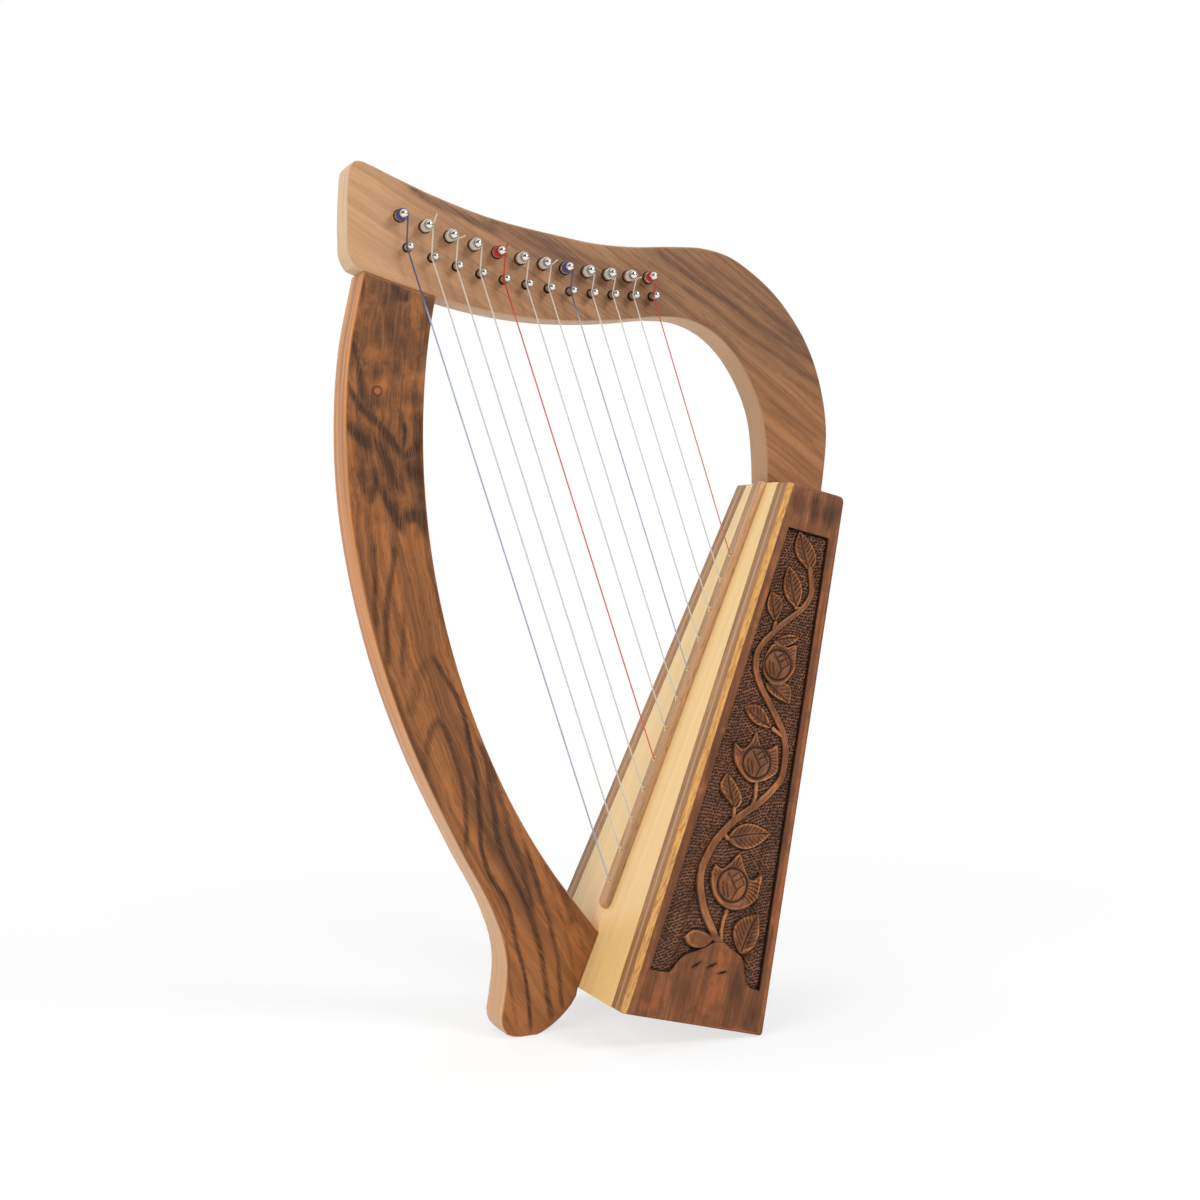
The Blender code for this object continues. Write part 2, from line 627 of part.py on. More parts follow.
def string_colour(index):
    """Every F is blue and every C is red, so that the player finds the notes."""
    return {0: "string_blue", 7: "string_blue", 4: "string_red", 11: "string_red"}.get(
        index, "string_clear")


def string_route(index, pin, guide, along):
    """The centre line of one string: knot, string hole, speaking length, guide pin, tuning pin."""
    radius = string_radius(index)
    level = NECK_NEAR_Y - STRING_LEVEL
    rim = -CLEAR - RIB_HEIGHT
    under = BOARD_THICKNESS + 2 * CLEAR + INNER_RIB_THICKNESS
    exit_point = front_point(along, rim - 0.0006, 0)
    route = [front_point(along, under + KNOT_RADIUS * 1.8, 0),
             front_point(along, under + KNOT_RADIUS * 1.3, 0),
             front_point(along, under + KNOT_RADIUS * 0.5, 0),
             front_point(along, under - 0.0002, 0),
             front_point(along, rim + 0.0006, 0)]

    guide = Vector(guide)
    pin = Vector(pin)
    guide_reach = GUIDE_GROOVE_RADIUS + CLEAR + radius
    pin_reach = PIN_STRING_RADIUS + CLEAR + radius
    rise = guide - Vector((exit_point.x, exit_point.z))
    lower = math.atan2(rise.y, rise.x) + math.asin(guide_reach / rise.length)
    gap = pin - guide
    upper = math.atan2(gap.y, gap.x) - math.asin((guide_reach + pin_reach) / gap.length)

    first = guide + Vector((math.cos(lower + math.pi / 2), math.sin(lower + math.pi / 2))) * guide_reach
    way = (Vector((first.x, level, first.y)) - exit_point).normalized()
    route.append(exit_point + (way - INTO_BOX) * 0.0002)
    route.append(exit_point + way * 0.0014)
    for step in range(4):
        angle = lower + (upper - lower) * step / 3 + math.pi / 2
        route.append(Vector((guide.x + guide_reach * math.cos(angle), level,
                             guide.y + guide_reach * math.sin(angle))))
    for step in range(9):
        angle = upper - math.pi / 2 + math.radians(270) * step / 8
        route.append(Vector((pin.x + pin_reach * math.cos(angle), level,
                             pin.y + pin_reach * math.sin(angle))))
    return route


def make_string(index, pin, guide, along):
    radius = string_radius(index)
    name = f"string_{index + 1:02d}"
    data = bpy.data.curves.new(name, "CURVE")
    data.dimensions = "3D"
    data.bevel_depth = radius
    data.bevel_resolution = 1
    data.use_fill_caps = True
    route = string_route(index, pin, guide, along)
    spline = data.splines.new("POLY")
    spline.points.add(len(route) - 1)
    for point, place in zip(spline.points, route):
        point.co = (*place, 1.0)
    knot = KNOT_RADIUS / radius
    for point, share in zip(spline.points, (0.45, 1.0, 0.8)):
        point.radius = max(1.0, knot * share)
    return add(name, data, string_colour(index))


def make_pins_and_strings():
    pins, guides, holes = row(PIN_ROW, STRINGS), row(GUIDE_ROW, STRINGS), hole_places()
    pin_data, guide_data = pin_mesh(), guide_mesh()
    pin_data.materials.append(material("pin_chrome"))
    guide_data.materials.append(material("pin_chrome"))
    for data in (pin_data, guide_data):
        data.shade_smooth()
        data.set_sharp_from_angle(angle=math.radians(35))
    # Local +z of every pin points at the viewer, along -Y.
    facing = (math.pi / 2, 0, 0)
    for index in range(STRINGS):
        number = f"{index + 1:02d}"
        x, z = pins[index]
        pin = add("tuning_pin_" + number, pin_data, "pin_chrome", (x, NECK_NEAR_Y, z))
        pin.rotation_euler = facing
        coil = add("string_coil_" + number,
                   coil_mesh(string_radius(index), "string_coil_" + number),
                   string_colour(index), smooth=math.radians(60))
        coil.parent = pin
        x, z = guides[index]
        guide = add("guide_pin_" + number, guide_data, "pin_chrome", (x, NECK_NEAR_Y, z))
        guide.rotation_euler = facing
        make_string(index, pins[index], guides[index], holes[index])


def main():
    for old in list(bpy.data.objects):
        bpy.data.objects.remove(old)
    make_soundbox()
    make_ribs()
    make_neck()
    make_pillar()
    make_pins_and_strings()


if __name__ == "__main__":
    main()
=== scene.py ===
"""Twelve-string lap harp, dressed in wood, chrome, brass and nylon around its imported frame.

Metres, +Z up. The strings are seen from -Y. Laid out as an add-on whose operators make the
pieces one after another; the main function at the end runs them all.
"""

import json
import math

import bmesh
import bpy
import numpy as np
from bpy.props import FloatProperty, FloatVectorProperty, IntProperty, PointerProperty
from mathutils import Matrix, Vector
from mathutils.geometry import delaunay_2d_cdt

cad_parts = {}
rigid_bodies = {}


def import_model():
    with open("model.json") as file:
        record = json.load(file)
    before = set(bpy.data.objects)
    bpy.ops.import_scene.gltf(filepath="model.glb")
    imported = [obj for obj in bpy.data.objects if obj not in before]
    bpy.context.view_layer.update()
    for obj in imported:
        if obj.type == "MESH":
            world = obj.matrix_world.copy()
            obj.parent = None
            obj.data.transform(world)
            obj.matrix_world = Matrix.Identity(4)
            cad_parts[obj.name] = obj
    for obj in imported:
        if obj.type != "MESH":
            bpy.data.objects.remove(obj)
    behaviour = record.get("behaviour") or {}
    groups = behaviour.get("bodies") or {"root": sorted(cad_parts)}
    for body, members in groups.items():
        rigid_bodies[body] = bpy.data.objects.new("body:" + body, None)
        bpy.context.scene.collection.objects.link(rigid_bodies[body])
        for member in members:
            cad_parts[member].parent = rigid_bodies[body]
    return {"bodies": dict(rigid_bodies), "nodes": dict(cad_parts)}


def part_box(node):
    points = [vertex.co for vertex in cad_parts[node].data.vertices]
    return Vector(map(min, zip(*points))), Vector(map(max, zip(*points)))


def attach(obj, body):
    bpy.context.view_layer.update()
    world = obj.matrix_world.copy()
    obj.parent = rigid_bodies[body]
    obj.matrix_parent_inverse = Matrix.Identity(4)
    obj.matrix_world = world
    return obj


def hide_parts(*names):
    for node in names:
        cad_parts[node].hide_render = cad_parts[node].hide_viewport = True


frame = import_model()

bl_info = {
    "name": "Lap harp",
    "version": (1, 0, 0),
    "blender": (4, 5, 0),
    "location": "3D View > Sidebar > Harp",
    "description": "Makes the pieces of a twelve-string lap harp and a plain studio for it",
    "category": "Object",
}

NEAR_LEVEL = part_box("neck")[0].y
NECK_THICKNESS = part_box("neck")[1].y - NEAR_LEVEL
PILLAR_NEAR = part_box("pillar")[0].y
PILLAR_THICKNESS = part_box("pillar")[1].y - PILLAR_NEAR
STRINGS = 12
CLEAR = 0.0003

# The studio's plain light, and how bright the room before the harp looks in shiny things.
ROOM_LIGHT = 0.33
ROOM_GLOSS = 0.14
FLOOR_HALF = 6.0
LAMP_AIM = (0.0, 0.0, 0.28)
# Each lamp: its place, width and power, and whether shiny things show it.
LAMPS = {"key_lamp": ((0.75, -1.35, 1.30), 0.6, 20.0, True),
         "fill_lamp": ((-1.30, -0.90, 0.75), 1.0, 14.0, False),
         "top_lamp": ((-0.20, 0.35, 1.70), 1.2, 10.5, False)}
# The camera, as fitted to the harp's outline: its place and the ways that it looks along.
CAMERA_PLACE = (-0.43591, -1.04185, 0.31455)
CAMERA_RIGHT = (0.92203113, -0.38621456, -0.02639888)
CAMERA_UP = (0.04026708, 0.02786092, 0.99880045)
CAMERA_AHEAD = (0.38501578, 0.92198811, -0.04124036)
CAMERA_LENS = 54.0
CAMERA_SENSOR = 36.0

# Soundbox, as the model has it. Its front leans back, and its ends are cut on a slope.
BOX_FOOT_X = -0.0242
BOX_LEAN = math.radians(24.05)
BOX_END_SLOPE = math.radians(15.6)
BOX_LENGTH = 0.3432
WIDTHS = (0.145, 0.0756)
DEPTHS = (0.0966, 0.0410)
UP_FRONT = np.array((math.sin(BOX_LEAN), 0, math.cos(BOX_LEAN)))
INTO_BOX = np.array((math.cos(BOX_LEAN), 0, -math.sin(BOX_LEAN)))
END_LINE = np.array((math.cos(BOX_END_SLOPE), 0, -math.sin(BOX_END_SLOPE)))
ACROSS = np.array((0.0, 1.0, 0.0))
FRONT_LOW = np.array((BOX_FOOT_X, 0, DEPTHS[0] * math.sin(BOX_END_SLOPE)))
FRONT_TOP = FRONT_LOW + UP_FRONT * BOX_LENGTH
# A side panel's edge, ring by ring from its outer face in: how deep the ring lies, how far it is
# set in along the front and how far along the other edges. Then the rounding of its four corners.
SIDE_RINGS = ((0.0, 0.0032, 0.0012), (0.0001, 0.0029, 0.0007), (0.00035, 0.00262, 0.00033),
              (0.00075, 0.00225, 0.00009), (0.0012, 0.0018, 0.0), (0.0027, 0.0003, 0.0),
              (0.003, 0.0001, 0.0), (0.0034, 0.0, 0.0), (0.0079, 0.0, 0.0), (0.0109, 0.0, 0.0),
              (0.0156, 0.0, 0.0), (0.016, 0.0, 0.0003))
SIDE_CORNERS = (0.0015, 0.0015, 0.004, 0.0024)
CORNER_POINTS = 7

# Neck outline, from the top front corner of the soundbox.
NECK_STEP = 0.003
PLUG_PLACE = (-0.1193, 0.4690)
ARM_FOOT_SETBACK = 0.0018
ARM_FOOT_DEPTH = 0.0410
ARM_INNER = ((0.0017, 0.0192), (-0.0013, 0.0455), (-0.0124, 0.0717), (-0.0216, 0.0847),
             (-0.0365, 0.0975), (-0.0530, 0.1043))
NECK_UNDER = ((-0.0721, 0.1057), (-0.0997, 0.1033), (-0.1300, 0.1021), (-0.1597, 0.1033),
              (-0.1919, 0.1081), (-0.2195, 0.1149), (-0.2423, 0.1218), (-0.2632, 0.1288))
NECK_END = ((-0.2690, 0.1313), (-0.2723, 0.1372), (-0.2732, 0.1510), (-0.2725, 0.1690),
            (-0.2712, 0.1850))
NECK_CREST = ((-0.2702, 0.1898), (-0.2667, 0.1934), (-0.2622, 0.1934), (-0.2577, 0.1917))
NECK_TOP = ((-0.2445, 0.1859), (-0.2188, 0.1753), (-0.1876, 0.1648), (-0.1418, 0.1550),
            (-0.1119, 0.1503), (-0.0950, 0.1494), (-0.0604, 0.1504), (-0.0428, 0.1503),
            (-0.0238, 0.1462))
SHOULDER = ((-0.0032, 0.1340), (0.0111, 0.1216), (0.0218, 0.1089), (0.0304, 0.0961),
            (0.0368, 0.0831), (0.0444, 0.0571), (0.0468, 0.0308), (0.0457, 0.0177),
            (0.0439, 0.0046))

# Pillar outline: its edges bow off the straight line between their ends.
PILLAR_STEP = 0.004
KNOT_PLACE = (-0.1421, 0.3977)
PILLAR_TOP_OUT = -0.2636
PILLAR_TOP_IN = -0.2197
PILLAR_HEEL_OUT = -0.0482
PILLAR_HEEL_Z = 0.0335
PILLAR_SEAT = 0.0365
PILLAR_OUT_SHARES = (0.028, 0.06, 0.10, 0.20, 0.34, 0.46, 0.574, 0.686, 0.794, 0.90)
PILLAR_OUT_BOWS = (-0.0031, -0.0038, -0.0014, 0.0113, 0.0271, 0.0356, 0.0387, 0.0372, 0.0304, 0.0181)
PILLAR_IN_SHARES = (0.06, 0.112, 0.22, 0.355, 0.4825, 0.605, 0.7225, 0.8366, 0.9476)
PILLAR_IN_BOWS = (0.0102, 0.0187, 0.0321, 0.0420, 0.0457, 0.0440, 0.0373, 0.0259, 0.0098)
FOOT_ROUND = ((-0.0500, 0.0225), (-0.0515, 0.0090), (-0.0480, 0.0024), (-0.0395, 0.0000),
              (-0.0285, 0.0000), (-0.0187, 0.0044), (-0.0105, 0.0105), (-0.0050, 0.0160),
              (-0.0014, 0.0212))

# Pins and strings, as the model has them.
PIN_ROW = ((-0.2406, 0.1620), (-0.1951, 0.1464), (-0.1510, 0.1364), (-0.0797, 0.1300))
GUIDE_ROW = ((-0.2366, 0.1434), (-0.1908, 0.1291), (-0.1478, 0.1216), (-0.0775, 0.1184))
ROW_CROWD = 0.06
PIN_SHANK = 0.0034
PIN_STRING_PART = 0.0024
PIN_REACH = 0.0115
PIN_BALL = 0.00274
PIN_DRIVE = 0.0048
PIN_DRIVE_LENGTH = 0.011
GUIDE_RADIUS = 0.0022
GUIDE_GROOVE = 0.00145
GUIDE_DEPTH = 0.014
GUIDE_REACH = 0.0100
STRING_LEVEL = 0.0070
BOARD_THICKNESS = 0.004
INNER_RIB_THICKNESS = 0.003
RIB_START = 0.0515
RIB_WIDTH = 0.013
RIB_HEIGHT = 0.0033
HOLE_FIRST = 0.2008
HOLE_PITCH = 0.0597
HOLE_LAST = 0.0524
BORE_SIDES = 32
# Spacing of the points over the boards' faces in metres, and over the panels' in millimetres.
BOARD_LATTICE = 0.0016
PANEL_LATTICE = 1.5
THREAD_STEP = 0.00012
THREAD_DEPTH = 0.00014
# Strings that are dyed, counted from the longest: every F is blue and every C is red, so that the
# player finds the notes.
DYED_STRINGS = {0: "blue", 4: "red", 7: "blue", 11: "red"}
# Where each winding's loose end points, in millimetres from its pin's axis as seen from in front,
# and how long it is. None where the end is tucked under the turns.
TAILS = (None, (6.0, 7.3), (8.1, 0.0), None, (5.0, 5.1), None, (7.7, 2.2), None, (0.6, -3.0),
         (2.4, -3.6), (6.9, -0.8), None)

# Figure of the wood. Each streak: its half width in millimetres, how dark it is, or below 0 how
# pale, and its path in millimetres: (x, z) on pillar and neck, (back, up) on a side panel.
PILLAR_STREAKS = (
    (7.0, 0.36, ((-150, 375), (-140, 355), (-128, 335), (-118, 320))),
    (5.0, 0.42, ((-118, 400), (-116, 380), (-117, 355), (-114, 330))),
    (6.0, 0.26, ((-140, 470), (-140, 440), (-138, 415))),
    (5.0, -0.45, ((-62, 46), (-59, 30), (-57, 12))),
    (4.0, -0.40, ((-112, 185), (-108, 170), (-105, 150))),
    (4.0, -0.35, ((-128, 300), (-124, 280), (-120, 262))),
    (1.0, 0.90, ((-156, 429), (-155, 422), (-153, 413), (-153, 404), (-152, 395))),
    (1.0, 1.00, ((-160, 403), (-158, 397), (-155, 391), (-152, 387), (-148, 384))),
    (1.4, 0.84, ((-153, 388), (-148, 384), (-142, 378), (-138, 373), (-134, 368), (-131, 363),
                 (-127, 359))),
    (1.7, 1.00, ((-161, 380), (-158, 375), (-155, 371), (-151, 368), (-147, 363))),
    (1.3, 1.00, ((-148, 371), (-144, 367), (-141, 362), (-138, 356), (-135, 349), (-132, 343),
                 (-128, 337))),
    (1.0, 0.90, ((-128, 382), (-126, 375), (-127, 368), (-128, 362))),
    (1.5, 1.00, ((-116, 369), (-119, 364), (-124, 360), (-128, 359))),
    (1.9, 0.96, ((-116, 383), (-115, 376), (-116, 370))),
    (2.3, 0.82, ((-128, 354), (-124, 351), (-119, 348), (-116, 342))),
    (1.7, 0.66, ((-155, 352), (-154, 346), (-152, 340), (-149, 333))),
    (1.3, 0.84, ((-145, 351), (-145, 344), (-147, 337), (-149, 331))),
    (1.4, 1.00, ((-144, 344), (-141, 338), (-138, 331), (-134, 324), (-131, 318), (-128, 314))),
    (2.9, 0.72, ((-131, 319), (-124, 323), (-119, 324), (-115, 318), (-113, 310))),
    (1.0, 0.72, ((-132, 467), (-130, 459), (-129, 452))),
    (1.2, 0.96, ((-127, 461), (-126, 453), (-123, 452), (-122, 459))),
    (2.6, 0.48, ((-133, 459), (-134, 446), (-133, 434), (-133, 422))),
    (1.4, 0.54, ((-107, 452), (-110, 434), (-112, 416))),
    (1.0, 0.66, ((-149, 465), (-149, 459), (-149, 451))),
    (1.9, 0.90, ((-142, 412), (-142, 408), (-143, 404))),
    (2.9, 0.67, ((-147, 402), (-148, 396), (-146, 392), (-140, 391), (-136, 395))),
    (3.8, 0.48, ((-123, 403), (-126, 396), (-120, 392))),
    (1.9, 0.48, ((-128, 405), (-131, 410), (-126, 416))),
    (1.2, 0.72, ((-148, 311), (-147, 298), (-147, 286), (-148, 271), (-147, 254))),
    (1.4, 0.70, ((-135, 309), (-135, 297), (-138, 284), (-140, 273), (-141, 261), (-141, 247),
                 (-141, 231))),
    (1.2, 0.60, ((-130, 269), (-131, 249), (-132, 234), (-131, 222))),
    (2.9, 0.40, ((-129, 270), (-123, 272))),
    (1.7, 0.50, ((-113, 297), (-111, 285), (-108, 271), (-105, 257))),
    (2.6, 0.48, ((-113, 238), (-117, 235), (-120, 230), (-123, 223), (-125, 215), (-128, 208),
                 (-129, 198))),
    (1.0, 0.95, ((-113, 238), (-110, 234), (-106, 226), (-101, 218), (-97, 209), (-94, 200), (-92, 190),
                 (-90, 177), (-88, 165), (-87, 150), (-86, 137), (-86, 122), (-84, 112), (-81, 103),
                 (-76, 94), (-71, 86), (-68, 76), (-66, 64), (-63, 51), (-60, 39), (-58, 23),
                 (-57, 2))),
    (1.7, 0.60, ((-111, 201), (-115, 194), (-118, 185), (-119, 176), (-119, 167))),
    (1.2, 0.75, ((-111, 201), (-107, 194), (-104, 186), (-101, 177), (-98, 168), (-96, 156), (-95, 141),
                 (-95, 126), (-96, 118))),
    (1.4, 0.77, ((-85, 187), (-81, 174), (-79, 158), (-77, 143), (-75, 125), (-71, 112), (-66, 101),
                 (-61, 90), (-56, 77), (-52, 64), (-49, 52), (-47, 37), (-45, 21), (-42, 5))),
    (1.4, 0.68, ((-82, 183), (-77, 167), (-73, 151), (-69, 136), (-65, 120), (-60, 106), (-56, 91),
                 (-53, 76))),
    (1.0, 0.38, ((-65, 138), (-60, 127), (-56, 113), (-51, 97), (-48, 84))),
    (1.0, 0.72, ((-57, 119), (-54, 108), (-50, 95), (-47, 83), (-43, 71), (-41, 61), (-38, 48),
                 (-37, 33), (-36, 18), (-35, 11))),
    (1.0, 0.42, ((-48, 109), (-44, 100), (-40, 89), (-37, 79), (-33, 66), (-30, 53), (-28, 40),
                 (-25, 25))),
    (1.6, 0.59, ((-38, 95), (-33, 87), (-29, 73), (-27, 63))),
    (1.0, 0.42, ((-27, 79), (-24, 66), (-21, 53), (-18, 45))),
    (1.0, 0.34, ((-22, 72), (-18, 61), (-16, 54))),
    (1.0, 0.51, ((-72, 62), (-71, 49), (-70, 37), (-68, 21), (-65, 4))),
    (1.0, 0.34, ((-74, 25), (-72, 12), (-69, 4))),
    (1.9, 0.38, ((-75, 91), (-70, 83))),
    (1.0, 0.47, ((-23, 25), (-27, 18), (-34, 11))),
)
NECK_STREAKS = (
    (1.3, 0.70, ((41, 487), (72, 467), (93, 455), (115, 441), (144, 424), (160, 414))),
    (1.1, 0.50, ((53, 486), (86, 466), (115, 451), (144, 435), (155, 429))),
    (1.1, 0.64, ((60, 465), (79, 453), (100, 438), (129, 420), (158, 403))),
    (1.7, 0.55, ((73, 481), (101, 465), (122, 450), (148, 432))),
    (1.1, 0.35, ((94, 479), (122, 458), (137, 446))),
    (1.5, 0.50, ((72, 445), (87, 435), (101, 420))),
    (1.1, 0.38, ((107, 425), (128, 411), (143, 402), (161, 391))),
    (1.1, 0.56, ((117, 396), (132, 385), (146, 375), (159, 366))),
    (1.1, 0.45, ((117, 389), (135, 378), (152, 364), (159, 354))),
    (1.1, 0.30, ((136, 397), (160, 381))),
    (1.1, 0.45, ((128, 440), (157, 418))),
    (1.1, 0.41, ((116, 447), (153, 424))),
    (1.1, 0.30, ((34, 471), (65, 451))),
    (1.7, 0.60, ((-121, 520), (-106, 512), (-90, 505), (-75, 499), (-61, 493))),
    (1.2, 0.45, ((-106, 515), (-87, 504), (-68, 494), (-49, 484), (-33, 477))),
    (1.1, 0.80, ((-69, 501), (-63, 499))),
    (1.1, 0.45, ((-59, 497), (-49, 491), (-36, 486), (-23, 481), (-5, 477))),
    (1.1, 0.45, ((-49, 495), (-33, 490), (-13, 484), (4, 478), (18, 472))),
    (1.1, 0.22, ((-154, 532), (-127, 517), (-106, 503))),
    (1.1, 0.26, ((-142, 531), (-124, 523), (-108, 513))),
    (1.1, 0.26, ((-3, 488), (17, 479), (37, 465), (58, 453))),
    (1.1, 0.22, ((3, 457), (23, 447))),
    (1.1, 0.40, ((21, 486), (44, 475), (72, 456))),
    (1.1, 0.22, ((-33, 488), (-3, 474))),
    (1.1, 0.26, ((114, 432), (143, 414), (161, 401))),
)
PANEL_STREAKS = (
    (1.9, 0.72, ((6, 343), (7, 336), (9, 328))),
    (1.9, 0.72, ((9, 346), (11, 337), (13, 325))),
    (2.2, 0.85, ((20, 346), (22, 337), (25, 326))),
    (1.9, 0.72, ((28, 341), (31, 336), (35, 327))),
    (1.9, 0.72, ((33, 347), (35, 338), (38, 328))),
    (1.9, 0.72, ((38, 346), (41, 335), (43, 323))),
    (1.6, 0.62, ((3, 310), (3, 300), (3, 294))),
    (1.6, 0.75, ((3, 284), (8, 277))),
    (2.0, 0.50, ((3, 280), (3, 267), (2, 254))),
    (2.5, 0.62, ((40, 323), (42, 310), (45, 298))),
    (3.0, 0.95, ((5, 190), (5, 186))),
    (1.6, 0.44, ((5, 175), (6, 167), (7, 155))),
    (1.6, 0.62, ((2, 124), (2, 115), (4, 104))),
    (2.0, 0.75, ((67, 168), (67, 157), (70, 145))),
    (1.6, 0.88, ((70, 141), (72, 132), (73, 123))),
    (1.6, 0.62, ((64, 181), (66, 172))),
    (1.6, 0.75, ((14, 30), (17, 24))),
    (1.6, 0.62, ((22, 16), (25, 6))),
    (2.2, 0.50, ((27, 29), (31, 16))),
    (3.1, 0.44, ((34, 33), (40, 15))),
    (1.6, 0.94, ((55, 17), (57, 12))),
    (3.0, 0.75, ((61, 46), (65, 35), (71, 26))),
    (1.9, 0.62, ((66, 49), (68, 41), (73, 32))),
    (1.6, 0.75, ((80, 22), (83, 13))),
    (3.5, 0.81, ((83, 31), (87, 25), (88, 17))),
    (1.6, 0.50, ((89, 39), (92, 26))),
    (3.2, 0.88, ((78, 97), (79, 90))),
    (2.0, 0.62, ((81, 79), (82, 65))),
    (4.6, -0.34, ((51, 48), (55, 37), (60, 25), (64, 17))),
    (3.0, -0.75, ((93, 26), (93, 17))),
    (3.8, -0.62, ((13, 13), (15, 5))),
    (2.5, -0.75, ((9, 185), (8, 177))),
    (2.5, -0.62, ((6, 149), (5, 136))),
    (2.5, -0.50, ((70, 158), (72, 146))),
    (2.5, -0.75, ((80, 86), (80, 78))),
    (1.0, -0.95, ((95, 4), (82, 86), (68, 170), (55, 253), (42, 336))),
)


def tint(red, green, blue):
    """A colour picked on a screen's 0 to 255 scale, as the linear colour that Blender uses."""
    return tuple(((value / 255 + 0.055) / 1.055) ** 2.4 if value > 10 else value / 3294
                 for value in (red, green, blue))


# Second tones of the finishes, beside the colours that can be changed.
NECK_FOOT = tint(148, 92, 48)
NECK_GRAIN = (tint(112, 76, 50), tint(158, 114, 80), tint(196, 150, 108))
NECK_SAWN_LOW = tint(176, 138, 104)
NECK_SAWN_LINES = tint(170, 130, 96)
KNOT_EYE = tint(164, 92, 50)
PLY_LINES = tint(128, 76, 38)
PLY_PALE_FOOT = tint(228, 194, 154)
CARVED_WARM = tint(156, 84, 44)
CARVED_PALE = tint(158, 92, 52)
PLY_FLECKS = tint(158, 96, 46)
SPRUCE_RINGS = tint(212, 166, 100)
SPRUCE_WARM = tint(246, 202, 122)
SPRUCE_FIBRES = tint(200, 150, 90)
# Near-black colours painted inside the pin bores and the eyelet seats.
BORE_DARK = tint(38, 28, 22)
SEAT_DARK = tint(60, 42, 30)
PLUG_WOOD = tint(204, 132, 62)
# Painted backlight: each string's paler tone, painted on its lower reach as if light came through it.
BACKLIT_NYLON = {"blue": tint(158, 172, 192), "red": tint(200, 92, 76), "clear": tint(196, 193, 184)}
WHITE = (1.0, 1.0, 1.0)
BLACK = (0.0, 0.0, 0.0)


def size(name, description, default):
    return FloatProperty(name=name, description=description, default=default, min=0.0,
                         precision=5, subtype="DISTANCE", unit="LENGTH")


def colour(name, description, *values):
    return FloatVectorProperty(name=name, description=description, default=tint(*values),
                               size=3, min=0.0, max=1.0, subtype="COLOR")


class HarpSizes(bpy.types.PropertyGroup):
    """Sizes that can be changed without moving any piece."""

    neck_ease: size("Neck edge rounding", "Radius of the neck's sanded edges", 0.0016)
    pillar_ease: size("Pillar edge rounding", "Radius of the pillar's sanded edges", 0.0015)
    carving_depth: size("Carving depth", "How far the carved ground is sunk", 0.0025)
    punch_pitch: size("Punch pitch", "Distance between the punch marks in the ground", 0.0019)
    thread_pitch: size("Thread pitch", "Pitch of the thread on a tuning pin", 0.0006)
    eyelet_outer: size("Eyelet radius", "Outer radius of a brass eyelet's flange", 0.0019)
    eyelet_hole: size("Eyelet hole", "Radius of the hole through an eyelet", 0.0008)
    string_low: size("Longest string", "Radius of the longest string", 0.00048)
    string_high: size("Shortest string", "Radius of the shortest string", 0.00036)
    plug: size("Wood plug", "Radius of the small plug in the neck", 0.0010)
    winding_turns: IntProperty(name="Winding turns", default=3, min=1, max=6,
                               description="Turns of string wound on a pin")
    tube_sides: IntProperty(name="String sides", default=10, min=6, max=24,
                            description="Faces around a string")


class HarpColours(bpy.types.PropertyGroup):
    """Colours of the woods, metals and strings."""

    neck_pale: colour("Neck, pale end", "Walnut of the neck near the pillar", 190, 148, 108)
    neck_mid: colour("Neck, middle", "Walnut in the middle of the neck", 150, 107, 74)
    neck_dark: colour("Neck, shoulder", "Walnut of the shoulder", 110, 72, 42)
    neck_edge: colour("Neck edges", "Pale sawn edges of the neck", 214, 182, 144)
    neck_streak: colour("Neck streaks", "Dark figure of the neck", 78, 50, 34)
    pillar_dark: colour("Pillar, dark figure", "Dark figure of the pillar's walnut", 50, 29, 16)
    pillar_mid: colour("Pillar", "Walnut of the pillar", 124, 78, 44)
    pillar_light: colour("Pillar, light figure", "Light bands of the pillar's walnut", 172, 108, 58)
    pillar_edge: colour("Pillar edges", "Plies along the pillar's edges", 204, 136, 74)
    carved_face: colour("Carved panel", "Flat walnut round the carving", 122, 74, 42)
    carved_ground: colour("Carved ground", "Ridges of the sunk ground", 112, 68, 42)
    # Painted highlight on the carving's raised edges, partly rubbed wear.
    carved_wear_and_highlight: colour("Carving, worn edges", "Edges of the carving, rubbed pale", 170, 110, 66)
    # Painted shade in the carving's cuts, punch marks and hollows.
    carved_cut_shade: colour("Carving cuts", "Deep cuts and punch marks", 26, 15, 9)
    ply_yellow: colour("Side, yellow ply", "Ply that shows on the chamfer", 206, 156, 86)
    ply_brown: colour("Side, brown ply", "Brown plies on the side's front edge", 160, 114, 70)
    ply_pale: colour("Side, pale ply", "Pale ply on the side's front edge", 206, 166, 122)
    spruce: colour("Soundboard", "Varnished spruce", 240, 206, 146)
    rib: colour("String rib", "Walnut of the string rib", 190, 146, 104)
    back: colour("Back panel", "Walnut of the back", 132, 88, 58)
    inner: colour("Inner wood", "Blocks and the inner rib", 205, 168, 120)
    brass: colour("Brass", "Eyelets", 236, 200, 116)
    chrome: colour("Chrome", "Tuning pins and guide pins", 232, 230, 226)
    nylon_blue: colour("Blue string", "Nylon of the F strings", 56, 66, 112)
    nylon_red: colour("Red string", "Nylon of the C strings", 168, 36, 28)
    nylon_clear: colour("Clear string", "Nylon of the other strings", 186, 178, 164)
    floor: colour("Floor", "Plain floor and backdrop", 250, 250, 250)


